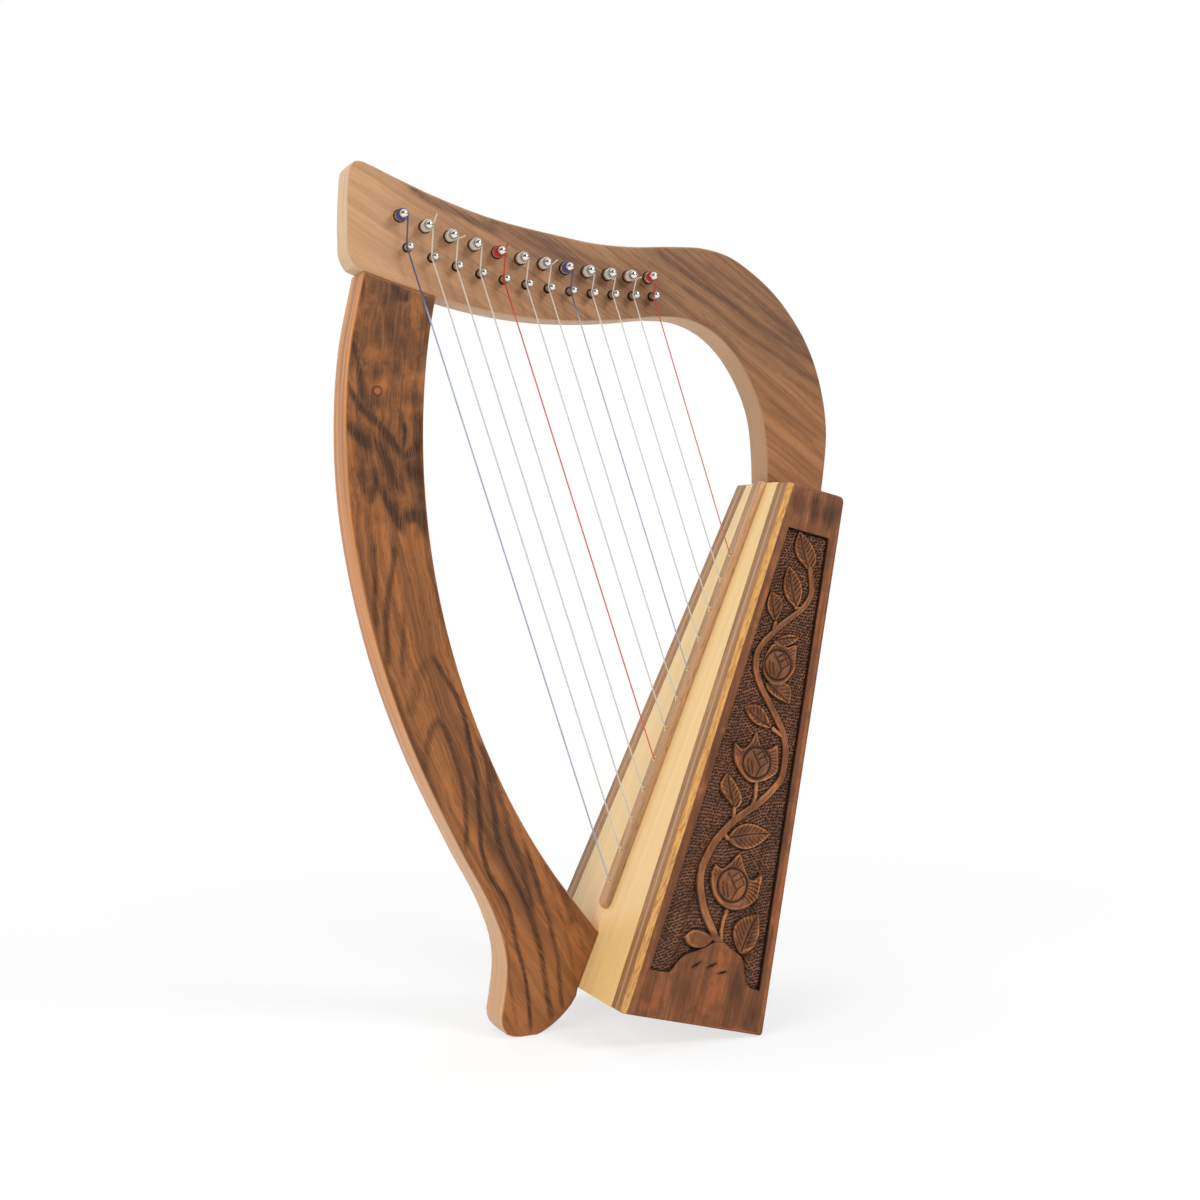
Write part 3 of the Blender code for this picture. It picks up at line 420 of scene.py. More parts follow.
def smooth_run(points, step):
    """Points about one step apart on a smooth curve through the given ones."""
    points = [np.array(point, float) for point in points]
    ends = [points[0] * 2 - points[1]] + points + [points[-1] * 2 - points[-2]]
    run = []
    for before, start, stop, after in zip(ends, ends[1:], ends[2:], ends[3:]):
        span = np.linalg.norm(stop - start)
        first = np.linalg.norm(start - before)
        last = np.linalg.norm(after - stop)
        out = ((start - before) / first * span + (stop - start) * first / span) / (first + span)
        into = ((stop - start) / span * last + (after - stop) * span / last) / (span + last)
        count = max(1, round(span / step))
        for index in range(count):
            t = index / count
            run.append(start * (2 * t**3 - 3 * t**2 + 1) + out * span * (t**3 - 2 * t**2 + t)
                       + stop * (3 * t**2 - 2 * t**3) + into * span * (t**3 - t**2))
    return run + [points[-1]]


def step_between(low, high, value):
    """0 below low, 1 above high and a smooth ramp between."""
    share = np.clip((value - low) / (high - low), 0, 1)
    return share * share * (3 - 2 * share)


def unit(vector):
    """The vector's way, one long."""
    return vector / np.linalg.norm(vector)


def spoke(turn, reach=1.0):
    """The point that lies this far from the centre of a circle, at this turn."""
    return np.array((math.cos(turn), math.sin(turn))) * reach


def curved(start, corner, stop, count):
    """Points on the curve that cuts a corner."""
    return [start * (1 - t) ** 2 + corner * 2 * t * (1 - t) + stop * t**2
            for t in np.linspace(0, 1, count)]


# Node trees
class Wire:
    """An output socket that takes part in plain sums."""

    def __init__(self, nodes, socket):
        self.nodes = nodes
        self.socket = socket

    def sum(self, operation, first, second):
        return self.nodes.node("ShaderNodeMath", {"operation": operation}, {0: first, 1: second})

    def __add__(self, other):
        return self.sum("ADD", self, other)

    def __sub__(self, other):
        return self.sum("SUBTRACT", self, other)

    def __rsub__(self, other):
        return self.sum("SUBTRACT", other, self)

    def __mul__(self, other):
        return self.sum("MULTIPLY", self, other)

    def __pow__(self, other):
        return self.sum("POWER", self, other)

    __radd__ = __add__
    __rmul__ = __mul__


class Nodes:
    """A node tree, and the one way in which its nodes are added."""

    def __init__(self, tree):
        self.tree = tree

    def link(self, wire, socket):
        self.tree.links.new(wire.socket, socket)

    def node(self, kind, settings=None, values=None, output=0):
        """Adds a node: its settings first, then its sockets' values or links."""
        made = self.tree.nodes.new(kind)
        for key, value in (settings or {}).items():
            setattr(made, key, value)
        for key, value in (values or {}).items():
            if isinstance(value, Wire):
                self.link(value, made.inputs[key])
            elif made.inputs[key].type == "RGBA":
                made.inputs[key].default_value = (*value, 1.0)
            else:
                made.inputs[key].default_value = value
        return Wire(self, made.outputs[output])


class ShaderNodes(Nodes):
    """The nodes that a finish or the room's light is made of."""

    def place(self):
        """Where a point is on the object, in metres."""
        return self.node("ShaderNodeTexCoord", output="Object")

    def parts(self, vector):
        made = self.node("ShaderNodeSeparateXYZ", values={0: vector}).socket.node
        return [Wire(self, output) for output in made.outputs]

    def vector(self, x, y, z):
        return self.node("ShaderNodeCombineXYZ", values={0: x, 1: y, 2: z})

    def turned(self, turn):
        """Object coordinates in a frame turned about Y, so that X runs along the grain."""
        return self.node("ShaderNodeMapping", {"vector_type": "TEXTURE"},
                         {0: self.place(), 2: (0, turn, 0)})

    def noise(self, at, sizes, detail=2.0, rough=0.5, seed=0.0):
        """Noise whose lumps have the given sizes along the three axes."""
        scaled = self.node("ShaderNodeVectorMath", {"operation": "MULTIPLY_ADD"},
                           {0: at, 1: [1 / length for length in sizes], 2: (seed, seed, seed)})
        return self.node("ShaderNodeTexNoise", {"noise_dimensions": "3D"},
                         {"Vector": scaled, "Scale": 1.0, "Detail": detail, "Roughness": rough})

    def clouds(self, lump, detail, seed):
        """Noise on the object whose lumps are as wide as they are high."""
        return self.noise(self.place(), (lump, lump, lump), detail, 0.6, seed)

    def ramp(self, value, low, high, to_low=0.0, to_high=1.0):
        """A smooth ramp from to_low at low to to_high at high."""
        return self.node("ShaderNodeMapRange", {"interpolation_type": "SMOOTHSTEP"},
                         {0: value, 1: low, 2: high, 3: to_low, 4: to_high})

    def patches(self, at, sizes, detail, rough, seed, low, high):
        """1 where this noise is high, 0 where it is low."""
        return self.ramp(self.noise(at, sizes, detail, rough, seed), low, high)

    def mix(self, share, first, second):
        """A colour between the two."""
        return self.node("ShaderNodeMix", {"data_type": "RGBA"},
                         {0: share, 6: first, 7: second}, output=2)

    def either(self, share, first, second):
        """A shader between the two."""
        return self.node("ShaderNodeMixShader", None, {0: share, 1: first, 2: second})

    def ray(self, kind):
        """1 on the rays of this kind, and 0 on the others."""
        return self.node("ShaderNodeLightPath", output=f"Is {kind} Ray")

    def attribute(self, name):
        return self.node("ShaderNodeAttribute", {"attribute_name": name}, output="Fac")


class Craft(ShaderNodes):
    """One material, and the nodes that give it its finish."""

    def __init__(self, name, preview, roughness=0.5, metallic=0.0, **constants):
        self.material = bpy.data.materials.new(name)
        self.material.use_nodes = True
        self.material.diffuse_color = (*preview, 1.0)
        super().__init__(self.material.node_tree)
        self.shader = self.tree.nodes["Principled BSDF"]
        self.shader.inputs["Roughness"].default_value = roughness
        self.shader.inputs["Metallic"].default_value = metallic
        self.shader.inputs["Base Color"].default_value = (*preview, 1.0)
        for socket, value in constants.items():
            self.shader.inputs[socket.replace("_", " ")].default_value = value

    def finish(self, base=None, roughness=None, height=None, depth=0.0001, strength=1.0):
        """Links the colour, the roughness and the bump, and gives the material."""
        if base:
            self.link(base, self.shader.inputs["Base Color"])
        if roughness:
            self.link(roughness, self.shader.inputs["Roughness"])
        if height:
            bump = self.node("ShaderNodeBump", None,
                             {"Strength": strength, "Distance": depth, "Height": height})
            self.link(bump, self.shader.inputs["Normal"])
        return self.material


def dim(shade, factor):
    """The shade made darker, or paler where the factor is over 1."""
    return tuple(value * factor for value in shade)


class Wood(Craft):
    """A wood's finish, whose shade is built up layer by layer over its grain."""

    def __init__(self, name, preview, **constants):
        super().__init__(name, preview, **{"Specular_IOR_Level": 0.28, **constants})
        self.shade = preview

    def cover(self, share, shade):
        """Lays another shade over the wood so far, as strongly as the share says."""
        self.shade = self.mix(share, self.shade, shade)

    def grain(self, at, dark, middle, light, band, line, contrast=1.0, seed=0.0):
        """Bands, lines, fibres and pores, in a frame whose X runs along the grain."""
        high = 0.5 + 0.15 / contrast
        bands = self.patches(at, (0.30, band, 0.03), 2.0, 0.5, seed, 1.0 - high, high)
        lines = self.patches(at, (0.14, line, 0.012), 3.0, 0.6, seed + 7, 0.5, high)
        pale = self.patches(at, (0.10, line * 1.3, 0.012), 2.0, 0.6, seed + 17, 0.52, 0.66)
        self.fibres = self.noise(at, (0.014, 0.00042, 0.0006), 2.0, 0.6, seed + 3)
        self.pores = self.patches(at, (0.0065, 0.00055, 0.0009), 1.0, 0.5, seed + 11, 0.58, 0.70)
        self.shade = self.mix(bands, dark, light)
        self.cover(0.35, middle)
        self.cover(lines * 0.50, dim(dark, 0.72))
        self.cover(pale * 0.30, dim(light, 1.12))
        self.cover(self.ramp(self.fibres, 0.34, 0.66) * 0.34, dim(middle, 0.66))
        self.cover(self.pores * 0.50, dim(dark, 0.45))

    def streaks(self, at, dark, light, raggedness=0.45, cloudiness=0.45):
        """The placed streaks, whose edges follow the fibres."""
        ragged = self.noise(at, (0.018, 0.0010, 0.006), 3.0, 0.6, 40.0) - 0.5
        drift = self.noise(self.place(), (0.007, 0.004, 0.007), 3.0, 0.6, 44.0) - 0.5
        marked = self.attribute("figure") + ragged * raggedness + drift * cloudiness
        threads = self.noise(at, (0.040, 0.0007, 0.004), 2.0, 0.6, 48.0)
        threads = self.ramp(threads, 0.36, 0.58, 0.58, 0.98)
        self.cover(self.ramp(marked, 0.10, 0.95) * threads, dark)
        self.cover(self.ramp(marked, -0.20, -0.70) * 0.65, light)

    def satin(self, gloss):
        """Ends the finish: a satin face whose open pores are duller and sink in."""
        rough = self.ramp(self.fibres, 0.3, 0.7, gloss - 0.05, gloss + 0.08) + self.pores * 0.12
        height = self.fibres * 0.5 - self.pores * 0.8
        return self.finish(self.shade, rough, height, 0.00012, 0.5)


def neck_wood(colours):
    """Straight-grained walnut, pale at the pillar end, with paler sawn edges."""
    wood = Wood("neck_walnut", colours.neck_mid)
    x, y, z = wood.parts(wood.place())
    slope = math.radians(31)
    along = x * math.cos(slope) - z * math.sin(slope)
    over = x * math.sin(slope) + z * math.cos(slope) + (x + 0.10) ** 2.0 * 0.35
    wave = wood.noise(wood.place(), (0.05, 0.05, 0.05), 1.0, 0.5, 4.0)
    at = wood.vector(along, over + wave * 0.006, y)
    tone = wood.mix(wood.ramp(x, -0.170, -0.060), colours.neck_pale, colours.neck_mid)
    tone = wood.mix(wood.ramp(x, -0.05, 0.060), tone, colours.neck_dark)
    foot = wood.ramp(z, 0.440, 0.360) * wood.ramp(x, 0.06, 0.12)
    tone = wood.mix(foot * 0.75, tone, NECK_FOOT)
    wood.grain(at, *NECK_GRAIN, 0.009, 0.0013, 0.9, 2.0)
    wood.cover(0.66, tone)
    crest = wood.ramp(over, 0.385, 0.402) * wood.ramp(over, 0.420, 0.402)
    crest = crest * wood.ramp(x, -0.135, -0.11) * wood.ramp(x, 0.02, -0.03)
    lines = wood.patches(at, (0.30, 0.0015, 0.05), 3.0, 0.6, 21.0, 0.52, 0.62)
    lines = lines * wood.ramp(x, -0.12, 0.06, 0.25, 0.75)
    wood.cover(lines * 0.55 + crest * 0.50, colours.neck_streak)
    broad = wood.patches(at, (0.30, 0.0085, 0.05), 2.0, 0.6, 25.0, 0.50, 0.68)
    broad = broad * wood.ramp(x, -0.14, 0.02, 0.08, 0.30)
    wood.cover(broad, dim(colours.neck_streak, 1.5))
    wood.streaks(at, colours.neck_streak, colours.neck_pale, 0.35)
    plies = wood.vector(x + z, y, z - x)
    plies = wood.patches(plies, (0.08, 0.0022, 0.08), 2.0, 0.6, 9.0, 0.40, 0.65)
    sawn = wood.mix(wood.ramp(z, 0.50, 0.40), colours.neck_edge, NECK_SAWN_LOW)
    wood.cover(wood.attribute("edge"), wood.mix(plies * 0.4, sawn, NECK_SAWN_LINES))
    return wood.satin(0.46)


def pillar_wood(colours):
    """Figured walnut with a knot, dark swirls and arches, and laminated edges."""
    wood = Wood("pillar_walnut", colours.pillar_mid)
    dark, middle, light = colours.pillar_dark, colours.pillar_mid, colours.pillar_light
    x, y, z = wood.parts(wood.place())
    rise = z - 0.22
    centre = rise * -0.315 - 0.1145 + rise * rise * 0.95 + rise * rise * rise * 0.55
    wave = wood.noise(wood.place(), (0.030, 0.03, 0.045), 2.0, 0.55, 5.0) - 0.5
    at = wood.vector(z, x - centre + wave * 0.012, y)
    wood.grain(at, dim(middle, 0.60), middle, light, 0.0065, 0.0014, 1.0, 1.0)
    broad = wood.patches(at, (0.10, 0.010, 0.05), 2.0, 0.55, 31.0, 0.52, 0.68)
    wood.cover(broad * 0.40, dim(dark, 1.6))
    wood.cover(wood.ramp(z, 0.34, 0.44) * 0.42, dim(middle, 0.45))
    mottle = wood.noise(wood.place(), (0.009, 0.01, 0.013), 3.0, 0.6, 61.0)
    upper = wood.ramp(z, 0.30, 0.34)
    wood.cover(wood.ramp(mottle, 0.50, 0.66) * upper * 0.45, dark)
    wood.cover(wood.ramp(mottle, 0.48, 0.34) * upper * 0.35, light)
    wood.cover(wood.ramp(z, 0.13, 0.04) * 0.30, light)
    wood.streaks(at, dark, light)
    knot_x = x - KNOT_PLACE[0]
    knot_z = z - KNOT_PLACE[1]
    knot_far = (knot_x * knot_x + knot_z * knot_z) ** 0.5
    wood.cover(wood.ramp(knot_far, 0.0040, 0.0026) * 0.75, dark)
    wood.cover(wood.ramp(knot_far, 0.0026, 0.0014) * 0.8, KNOT_EYE)
    flow = wood.vector(z + x * 0.4, y + wave * 0.003, x)
    plies = wood.patches(flow, (0.25, 0.0019, 0.25), 2.0, 0.6, 15.0, 0.53, 0.66)
    tone = wood.patches(flow, (0.12, 0.006, 0.12), 1.0, 0.5, 17.0, 0.35, 0.65)
    laid = wood.mix(tone, dim(colours.pillar_edge, 0.74), colours.pillar_edge)
    laid = wood.mix(plies * 0.75, laid, PLY_LINES)
    laid = wood.mix(wood.ramp(z, 0.24, 0.08) * 0.42, laid, PLY_PALE_FOOT)
    wood.cover(wood.attribute("edge"), laid)
    return wood.satin(0.42)


def carved_wood(colours):
    """Dark walnut with a carved vine: rubbed pale with a painted highlight on the high parts, and dark
    with painted shade in the ground's hollows and the cuts.
    """
    face, sunk = colours.carved_face, colours.carved_ground
    wood = Wood("carved_walnut", face)
    along, thick, across = wood.parts(wood.turned(BOX_LEAN - math.pi / 2 - 0.06))
    at = wood.vector(along, across, thick)
    wood.grain(at, dim(face, 0.62), face, dim(face, 1.50), 0.010, 0.0018, 1.3, 5.0)
    threads = wood.patches(at, (0.12, 0.0020, 0.02), 3.0, 0.6, 71.0, 0.52, 0.66)
    wood.cover(threads * 0.50, dim(face, 0.48))
    warm = wood.patches(at, (0.06, 0.0055, 0.02), 2.0, 0.5, 75.0, 0.54, 0.70)
    wood.cover(warm * 0.55, CARVED_WARM)
    wood.streaks(at, dim(face, 0.22), CARVED_PALE, 0.6, 0.15)
    cloud = wood.clouds(0.012, 2.0, 8.0)
    ground = wood.mix(wood.ramp(cloud, 0.35, 0.65), dim(sunk, 0.72), dim(sunk, 1.15))
    wood.cover(wood.attribute("ground") * 0.85, ground)
    wood.cover(wood.ramp(cloud, 0.56, 0.40) * 0.45, dim(face, 0.55))
    # Painted highlight on the raised edges, partly rubbed wear.
    wood.cover(wood.attribute("worn") * wood.ramp(cloud, 0.36, 0.60, 0.35, 0.95),
               colours.carved_wear_and_highlight)
    # Painted shade in the cuts, punch marks, hollows and round the raised shapes.
    wood.cover(wood.attribute("cut") * 0.96, colours.carved_cut_shade)
    return wood.satin(0.44)


def side_edge_wood(colours):
    """The laminated edges of a side: yellow ply outside, then brown, pale and brown."""
    brown, gold = colours.ply_brown, colours.ply_yellow
    wood = Wood("side_plies", brown, Specular_IOR_Level=0.5)
    at = wood.turned(BOX_LEAN - math.pi / 2)
    wave = wood.noise(at, (0.05, 0.01, 0.01), 2.0, 0.5, 2.0)
    layer = wood.attribute("depth") + (wave - 0.5) * 0.5
    wood.grain(at, dim(brown, 0.68), brown, dim(brown, 1.30), 0.006, 0.0016, 0.9, 3.0)
    pale = wood.ramp(layer, 7.7, 8.0) * wood.ramp(layer, 11.0, 10.7)
    wood.cover(pale * 0.50, colours.ply_pale)
    seam = wood.ramp(layer, 7.2, 7.7) * wood.ramp(layer, 8.2, 7.9)
    wood.cover(seam * 0.4, dim(brown, 0.5))
    flecks = wood.patches(at, (0.007, 0.0009, 0.0009), 2.0, 0.6, 13.0, 0.50, 0.62)
    clouds = wood.patches(at, (0.03, 0.002, 0.004), 2.0, 0.6, 17.0, 0.40, 0.62)
    yellow = wood.mix(flecks * 0.75, wood.mix(clouds, dim(gold, 0.80), gold), PLY_FLECKS)
    wood.cover(wood.ramp(layer, 3.1, 2.9), yellow)
    return wood.satin(0.42)


def spruce_wood(colours):
    """Varnished spruce: close straight lines up the board and a satin gloss."""
    spruce = colours.spruce
    wood = Wood("varnished_spruce", spruce, Specular_IOR_Level=0.5, Coat_Weight=0.35,
                Coat_Roughness=0.16)
    at = wood.turned(BOX_LEAN - math.pi / 2)
    _, across, _ = wood.parts(at)
    rings = wood.patches(at, (0.9, 0.0016, 0.02), 2.0, 0.6, 3.0, 0.50, 0.70)
    broad = wood.patches(at, (0.7, 0.012, 0.05), 1.0, 0.5, 6.0, 0.35, 0.65)
    fibres = wood.noise(at, (0.02, 0.0005, 0.0006), 2.0, 0.6, 8.0)
    wood.shade = wood.mix(broad, dim(spruce, 0.93), spruce)
    wood.cover(rings * 0.38, SPRUCE_RINGS)
    # Painted sheen, partly the board's own colour: the near half is painted warmer, so that the far
    # half stays paler, as a soft reflection in the varnish shows it.
    wood.cover(wood.ramp(across, 0.006, -0.020) * 0.35, SPRUCE_WARM)
    wood.cover(wood.ramp(fibres, 0.4, 0.7) * 0.12, SPRUCE_FIBRES)
    rough = wood.ramp(fibres, 0.3, 0.7, 0.34, 0.46)
    return wood.finish(wood.shade, rough, fibres, 0.00005, 0.4)


def plain_wood(name, shade, turn, gloss=0.45, contrast=0.8, seed=0.0):
    """A quiet wood whose grain runs at the turn about Y."""
    wood = Wood(name, shade)
    wood.grain(wood.turned(turn), dim(shade, 0.68), shade, dim(shade, 1.28), 0.009, 0.0017,
               contrast, seed)
    return wood.satin(gloss)


def metal(name, shade, roughness, wear):
    """Plated metal with faint rubbing marks."""
    craft = Craft(name, shade, roughness, 1.0)
    smears = craft.clouds(0.0012, 3.0, 1.0)
    scratches = craft.noise(craft.place(), (0.004, 0.0002, 0.0006), 2.0, 0.6, 5.0)
    tone = craft.mix(craft.ramp(smears, 0.45, 0.75) * 0.3, shade, dim(shade, 0.72))
    rough = craft.ramp(smears, 0.35, 0.75, roughness * 0.7, roughness + wear)
    return craft.finish(tone, rough, scratches, 0.00001, 0.25)


def nylon(name, shade, pale):
    """Drawn nylon: glossy, deep in tone near the pins, and painted paler lower down as a painted
    backlight where light comes through it; it also has a painted glow in its own colour.
    """
    # Painted glow: the nylon glows with its own colour at 0.4 strength, and its base colour is dimmed
    # to 0.6 to match.
    craft = Craft(name, shade, 0.28, Emission_Strength=0.4)
    _, _, z = craft.parts(craft.place())
    tone = craft.noise(craft.place(), (0.02, 0.02, 0.02), 2.0, 0.5, 3.0)
    scuffs = craft.noise(craft.place(), (0.0006, 0.0006, 0.004), 2.0, 0.6, 7.0)
    # Painted backlight: below the pins' level the colour turns to the paler tone.
    base = craft.mix(craft.ramp(z + tone * 0.01, 0.460, 0.440), shade, pale)
    base = craft.mix(craft.ramp(tone, 0.35, 0.65) * 0.2, base, dim(shade, 0.85))
    craft.link(base, craft.shader.inputs["Emission Color"])
    return craft.finish(craft.mix(0.4, base, BLACK), craft.ramp(scuffs, 0.35, 0.7, 0.30, 0.50))


def nylon_finishes(colours):
    """The three string finishes, made once."""
    finishes = {}
    for tone, pale in BACKLIT_NYLON.items():
        name = tone + "_nylon"
        shade = getattr(colours, "nylon_" + tone)
        finishes["string_" + tone] = bpy.data.materials.get(name) or nylon(name, shade, pale)
    return finishes


def dark_lining(name, shade):
    """Near-black end grain inside the pin bores and the eyelet seats, with paler spots."""
    craft = Craft(name, shade, 0.6)
    spots = craft.clouds(0.0006, 2.0, 2.0)
    base = craft.mix(craft.ramp(spots, 0.35, 0.7), shade, dim(shade, 2.2))
    return craft.finish(base, craft.ramp(spots, 0.3, 0.7, 0.45, 0.7), spots, 0.00003, 0.4)


# Shapes
def add(name, data, *materials):
    """A finished piece: its mesh in place, its object at the origin."""
    made = bpy.data.objects.new(name, data)
    bpy.context.scene.collection.objects.link(made)
    for material in materials:
        data.materials.append(material)
    return made


def evaluated(made):
    """The piece's mesh with its modifiers worked in, and the modifiers gone."""
    bpy.context.view_layer.update()
    graph = bpy.context.evaluated_depsgraph_get()
    data = bpy.data.meshes.new_from_object(made.evaluated_get(graph))
    made.modifiers.clear()
    return data


def smoothed(data, angle):
    """Smooth shading, with every edge sharper than the angle in degrees kept crisp."""
    data.shade_smooth()
    data.set_sharp_from_angle(angle=math.radians(angle))


def shade_flats(data, angle, ways):
    """Smooth shading that stays level on the flat faces looking along the given ways."""
    smoothed(data, angle)
    normals = np.empty(len(data.polygons) * 3)
    data.polygons.foreach_get("normal", normals)
    flat = (normals.reshape(-1, 3) @ np.array(ways, float).T).max(axis=1) > 0.99998
    totals = np.empty(len(data.polygons), int)
    data.polygons.foreach_get("loop_total", totals)
    edges = np.empty(len(data.loops), int)
    data.loops.foreach_get("edge_index", edges)
    owners = np.repeat(flat.astype(float), totals)
    level = np.bincount(edges, weights=owners, minlength=len(data.edges))
    every = np.bincount(edges, minlength=len(data.edges))
    layer = data.attributes.get("sharp_edge") or data.attributes.new("sharp_edge", "BOOLEAN", "EDGE")
    sharp = np.empty(len(data.edges), bool)
    layer.data.foreach_get("value", sharp)
    sharp |= (level > 0) & (level < every)
    layer.data.foreach_set("value", sharp)


def ring_faces(first, second, count):
    """Quads between two rings of vertices, given by the index of each ring's first vertex."""
    return [(first + i, first + (i + 1) % count, second + (i + 1) % count, second + i)
            for i in range(count)]


def stacked(rings, count):
    """Faces over a stack of rings with count vertices each, closed at both ends."""
    faces = []
    for index in range(rings - 1):
        faces += ring_faces(index * count, (index + 1) * count, count)
    faces.append(tuple(range(count))[::-1])
    faces.append(tuple(range((rings - 1) * count, rings * count)))
    return faces


def mesh_of(name, points, faces, edges=()):
    data = bpy.data.meshes.new(name)
    data.from_pydata([tuple(point) for point in points], edges, faces)
    return data


def mark_points(data, **values):
    """Gives each point of the mesh the named values that its finish reads."""
    for label, each in values.items():
        data.attributes.new(label, "FLOAT", "POINT").data.foreach_set("value", each)


def inset(outline, distance):
    """The closed outline moved inwards, corner by corner."""
    points = np.array(outline, float)
    along = np.roll(points, -1, axis=0) - points
    along /= np.linalg.norm(along, axis=1)[:, None]
    before = np.roll(along, 1, axis=0)
    inward = np.stack([-along[:, 1] - before[:, 1], along[:, 0] + before[:, 0]], axis=1)
    inward /= np.linalg.norm(inward, axis=1)[:, None]
    slant = np.clip(inward[:, 0] * -along[:, 1] + inward[:, 1] * along[:, 0], 0.5, 1.0)
    return points + inward * (distance / slant)[:, None]


def filled(rings, spacing, firsts, lay):
    """Triangles between an outline and the holes in it, over a lattice of points.

    The rings are the outline and then the holes, firsts holds the index of each ring's first
    vertex, and lay adds the lattice's vertices and gives the index of the first.
    """
    rings = [np.array(ring, float) for ring in rings]
    fixed = np.concatenate(rings)
    low, high = fixed.min(axis=0), fixed.max(axis=0)
    lattice = np.array([(x + spacing / 2 * (line % 2), y)
                        for line, y in enumerate(np.arange(low[1], high[1], spacing * 0.866))
                        for x in np.arange(low[0], high[0], spacing)])

    def kept(at, gap):
        clear = inside_outline(at, rings[0]) > gap
        for hole in rings[1:]:
            near = ((at > hole.min(axis=0) - gap) & (at < hole.max(axis=0) + gap)).all(axis=1)
            clear[near] &= inside_outline(at[near], hole) < -gap
        return clear

    lattice = lattice[kept(lattice, spacing * 0.4)]
    edges, index_of = [], []
    for first, ring in zip(firsts, rings):
        start, count = len(index_of), len(ring)
        edges += [(start + i, start + (i + 1) % count) for i in range(count)]
        index_of += range(first, first + count)
    start = lay(lattice)
    index_of += range(start, start + len(lattice))
    every = np.concatenate([fixed, lattice])
    found = delaunay_2d_cdt([Vector(point) for point in every], edges, [], 1, 1e-9, True)
    source = np.array([origin[0] for origin in found[3]])
    faces = source[np.array(found[2])]
    faces = faces[kept(every[faces].mean(axis=1), 0.0)]
    return [tuple(index_of[i] for i in face) for face in faces]


def figure(at, streaks):
    """How dark the streaks make each point: 0 to 1, or down to -1 where they are pale."""
    dark = np.zeros(len(at))
    for width, strength, path in streaks:
        run = [tuple(point) for point in smooth_run(path, 5.0)]
        far, along = path_distance(at, run)
        length = sum(math.dist(first, last) for first, last in zip(run, run[1:]))
        taper = 0.4 + 0.6 * np.clip(np.minimum(along, length - along) / 6.0, 0.0, 1.0)
        # A line with a soft shoulder, as growth rings have.
        line = np.exp(-0.7 * (far / (width * 1.15)) ** 2) + 0.42 * np.exp(-far / (width * 2.4))
        mark = abs(strength) * taper * np.minimum(line, 1.0)
        dark += mark * (1 - dark) if strength > 0 else -mark * (1 + dark)
    return dark


def circle(x, z, radius):
    """A bore's rim on a board's face."""
    return [(x, z) + spoke(2 * math.pi * side / BORE_SIDES, radius) for side in range(BORE_SIDES)]


def board(name, outline, near, thickness, ease, bores, streaks, *materials):
    """A sawn board with rounded edges and bores, each (x, z, radius, depth, flare).

    Its edge attribute is 0 on the faces and 1 on the sides; figure holds the streaks.
    """
    steps = 5
    turns = [math.pi / 2 * index / steps for index in range(steps + 1)]
    levels = [(near + ease * (1 - math.cos(turn)), ease * (1 - math.sin(turn)),
               index / steps) for index, turn in enumerate(turns)]
    levels += [(2 * near + thickness - y, back, edge) for y, back, edge in levels[::-1]]
    area = sum(a[0] * b[1] - b[0] * a[1] for a, b in zip(outline, outline[1:] + outline[:1]))
    outline = outline if area > 0 else outline[::-1]
    count = len(outline)
    points, edges, faces, lined_faces = [], [], [], []

    def lay(flat, y, edge=0.0):
        points.extend((x, y, z) for x, z in flat)
        edges.extend([edge] * len(flat))
        return len(points) - len(flat)

    for y, back, edge in levels:
        lay(inset(outline, back), y, min(1.0, max(0.0, edge * 1.8 - 0.4)))
    for index in range(len(levels) - 1):
        faces += ring_faces(index * count, (index + 1) * count, count)
    mouths = {}
    for far_side in (False, True):
        y = near + thickness if far_side else near
        through = [bore for bore in bores if bore[3] > thickness or not far_side]
        holes = [circle(x, z, radius + flare) for x, z, radius, depth, flare in through]
        firsts = [(len(levels) - 1) * count if far_side else 0]
        for bore, hole in zip(through, holes):
            mouths[bore, far_side] = lay(hole, y)
            firsts.append(mouths[bore, far_side])
        faces += filled([inset(outline, ease), *holes], BOARD_LATTICE, firsts,
                        lambda lattice: lay(lattice, y))
    for bore in bores:
        x, z, radius, depth, flare = bore
        goes_through = depth > thickness
        wall = circle(x, z, radius)
        rings = [mouths[bore, False], lay(wall, near + flare),
                 lay(wall, near + (thickness - flare if goes_through else depth))]
        if goes_through:
            rings.append(mouths[bore, True])
        else:
            lined_faces.append(tuple(range(rings[-1], rings[-1] + len(wall))))
        for first, second in zip(rings, rings[1:]):
            lined_faces += ring_faces(first, second, len(wall))
    data = mesh_of(name, points, faces + lined_faces)
    data.polygons.foreach_set("material_index", [0] * len(faces) + [1] * len(lined_faces))
    mark_points(data, edge=edges, figure=figure(np.array(points)[:, (0, 2)] * 1000, streaks))
    outward(data)
    shade_flats(data, 30, [(0, -1, 0), (0, 1, 0)])
    return add(name, data, *materials)


def outward(data):
    """Turns every face outwards."""
    shape = bmesh.new()
    shape.from_mesh(data)
    bmesh.ops.recalc_face_normals(shape, faces=shape.faces)
    shape.to_mesh(data)
    shape.free()


def lathe(profile, sides, squares=None, thread=None):
    """Points and faces of a turned shape about +Z, closed at both ends.

    Where squares says so the ring is squared, and a thread is cut between its two heights.
    """
    points = []
    for index, (radius, height) in enumerate(profile):
        for side in range(sides):
            turn = 2 * math.pi * (side + 0.5) / sides
            x, y = spoke(turn)
            reach = radius
            if squares and squares[index]:
                reach = radius / max(abs(x), abs(y), (abs(x) + abs(y)) / 1.72)
            elif thread and thread[0] <= height <= thread[1]:
                phase = (height / thread[2] - side / sides) % 1.0
                reach = radius - thread[3] * abs(2 * phase - 1)
            points.append((reach * x, reach * y, height))
    return points, stacked(len(profile), sides)


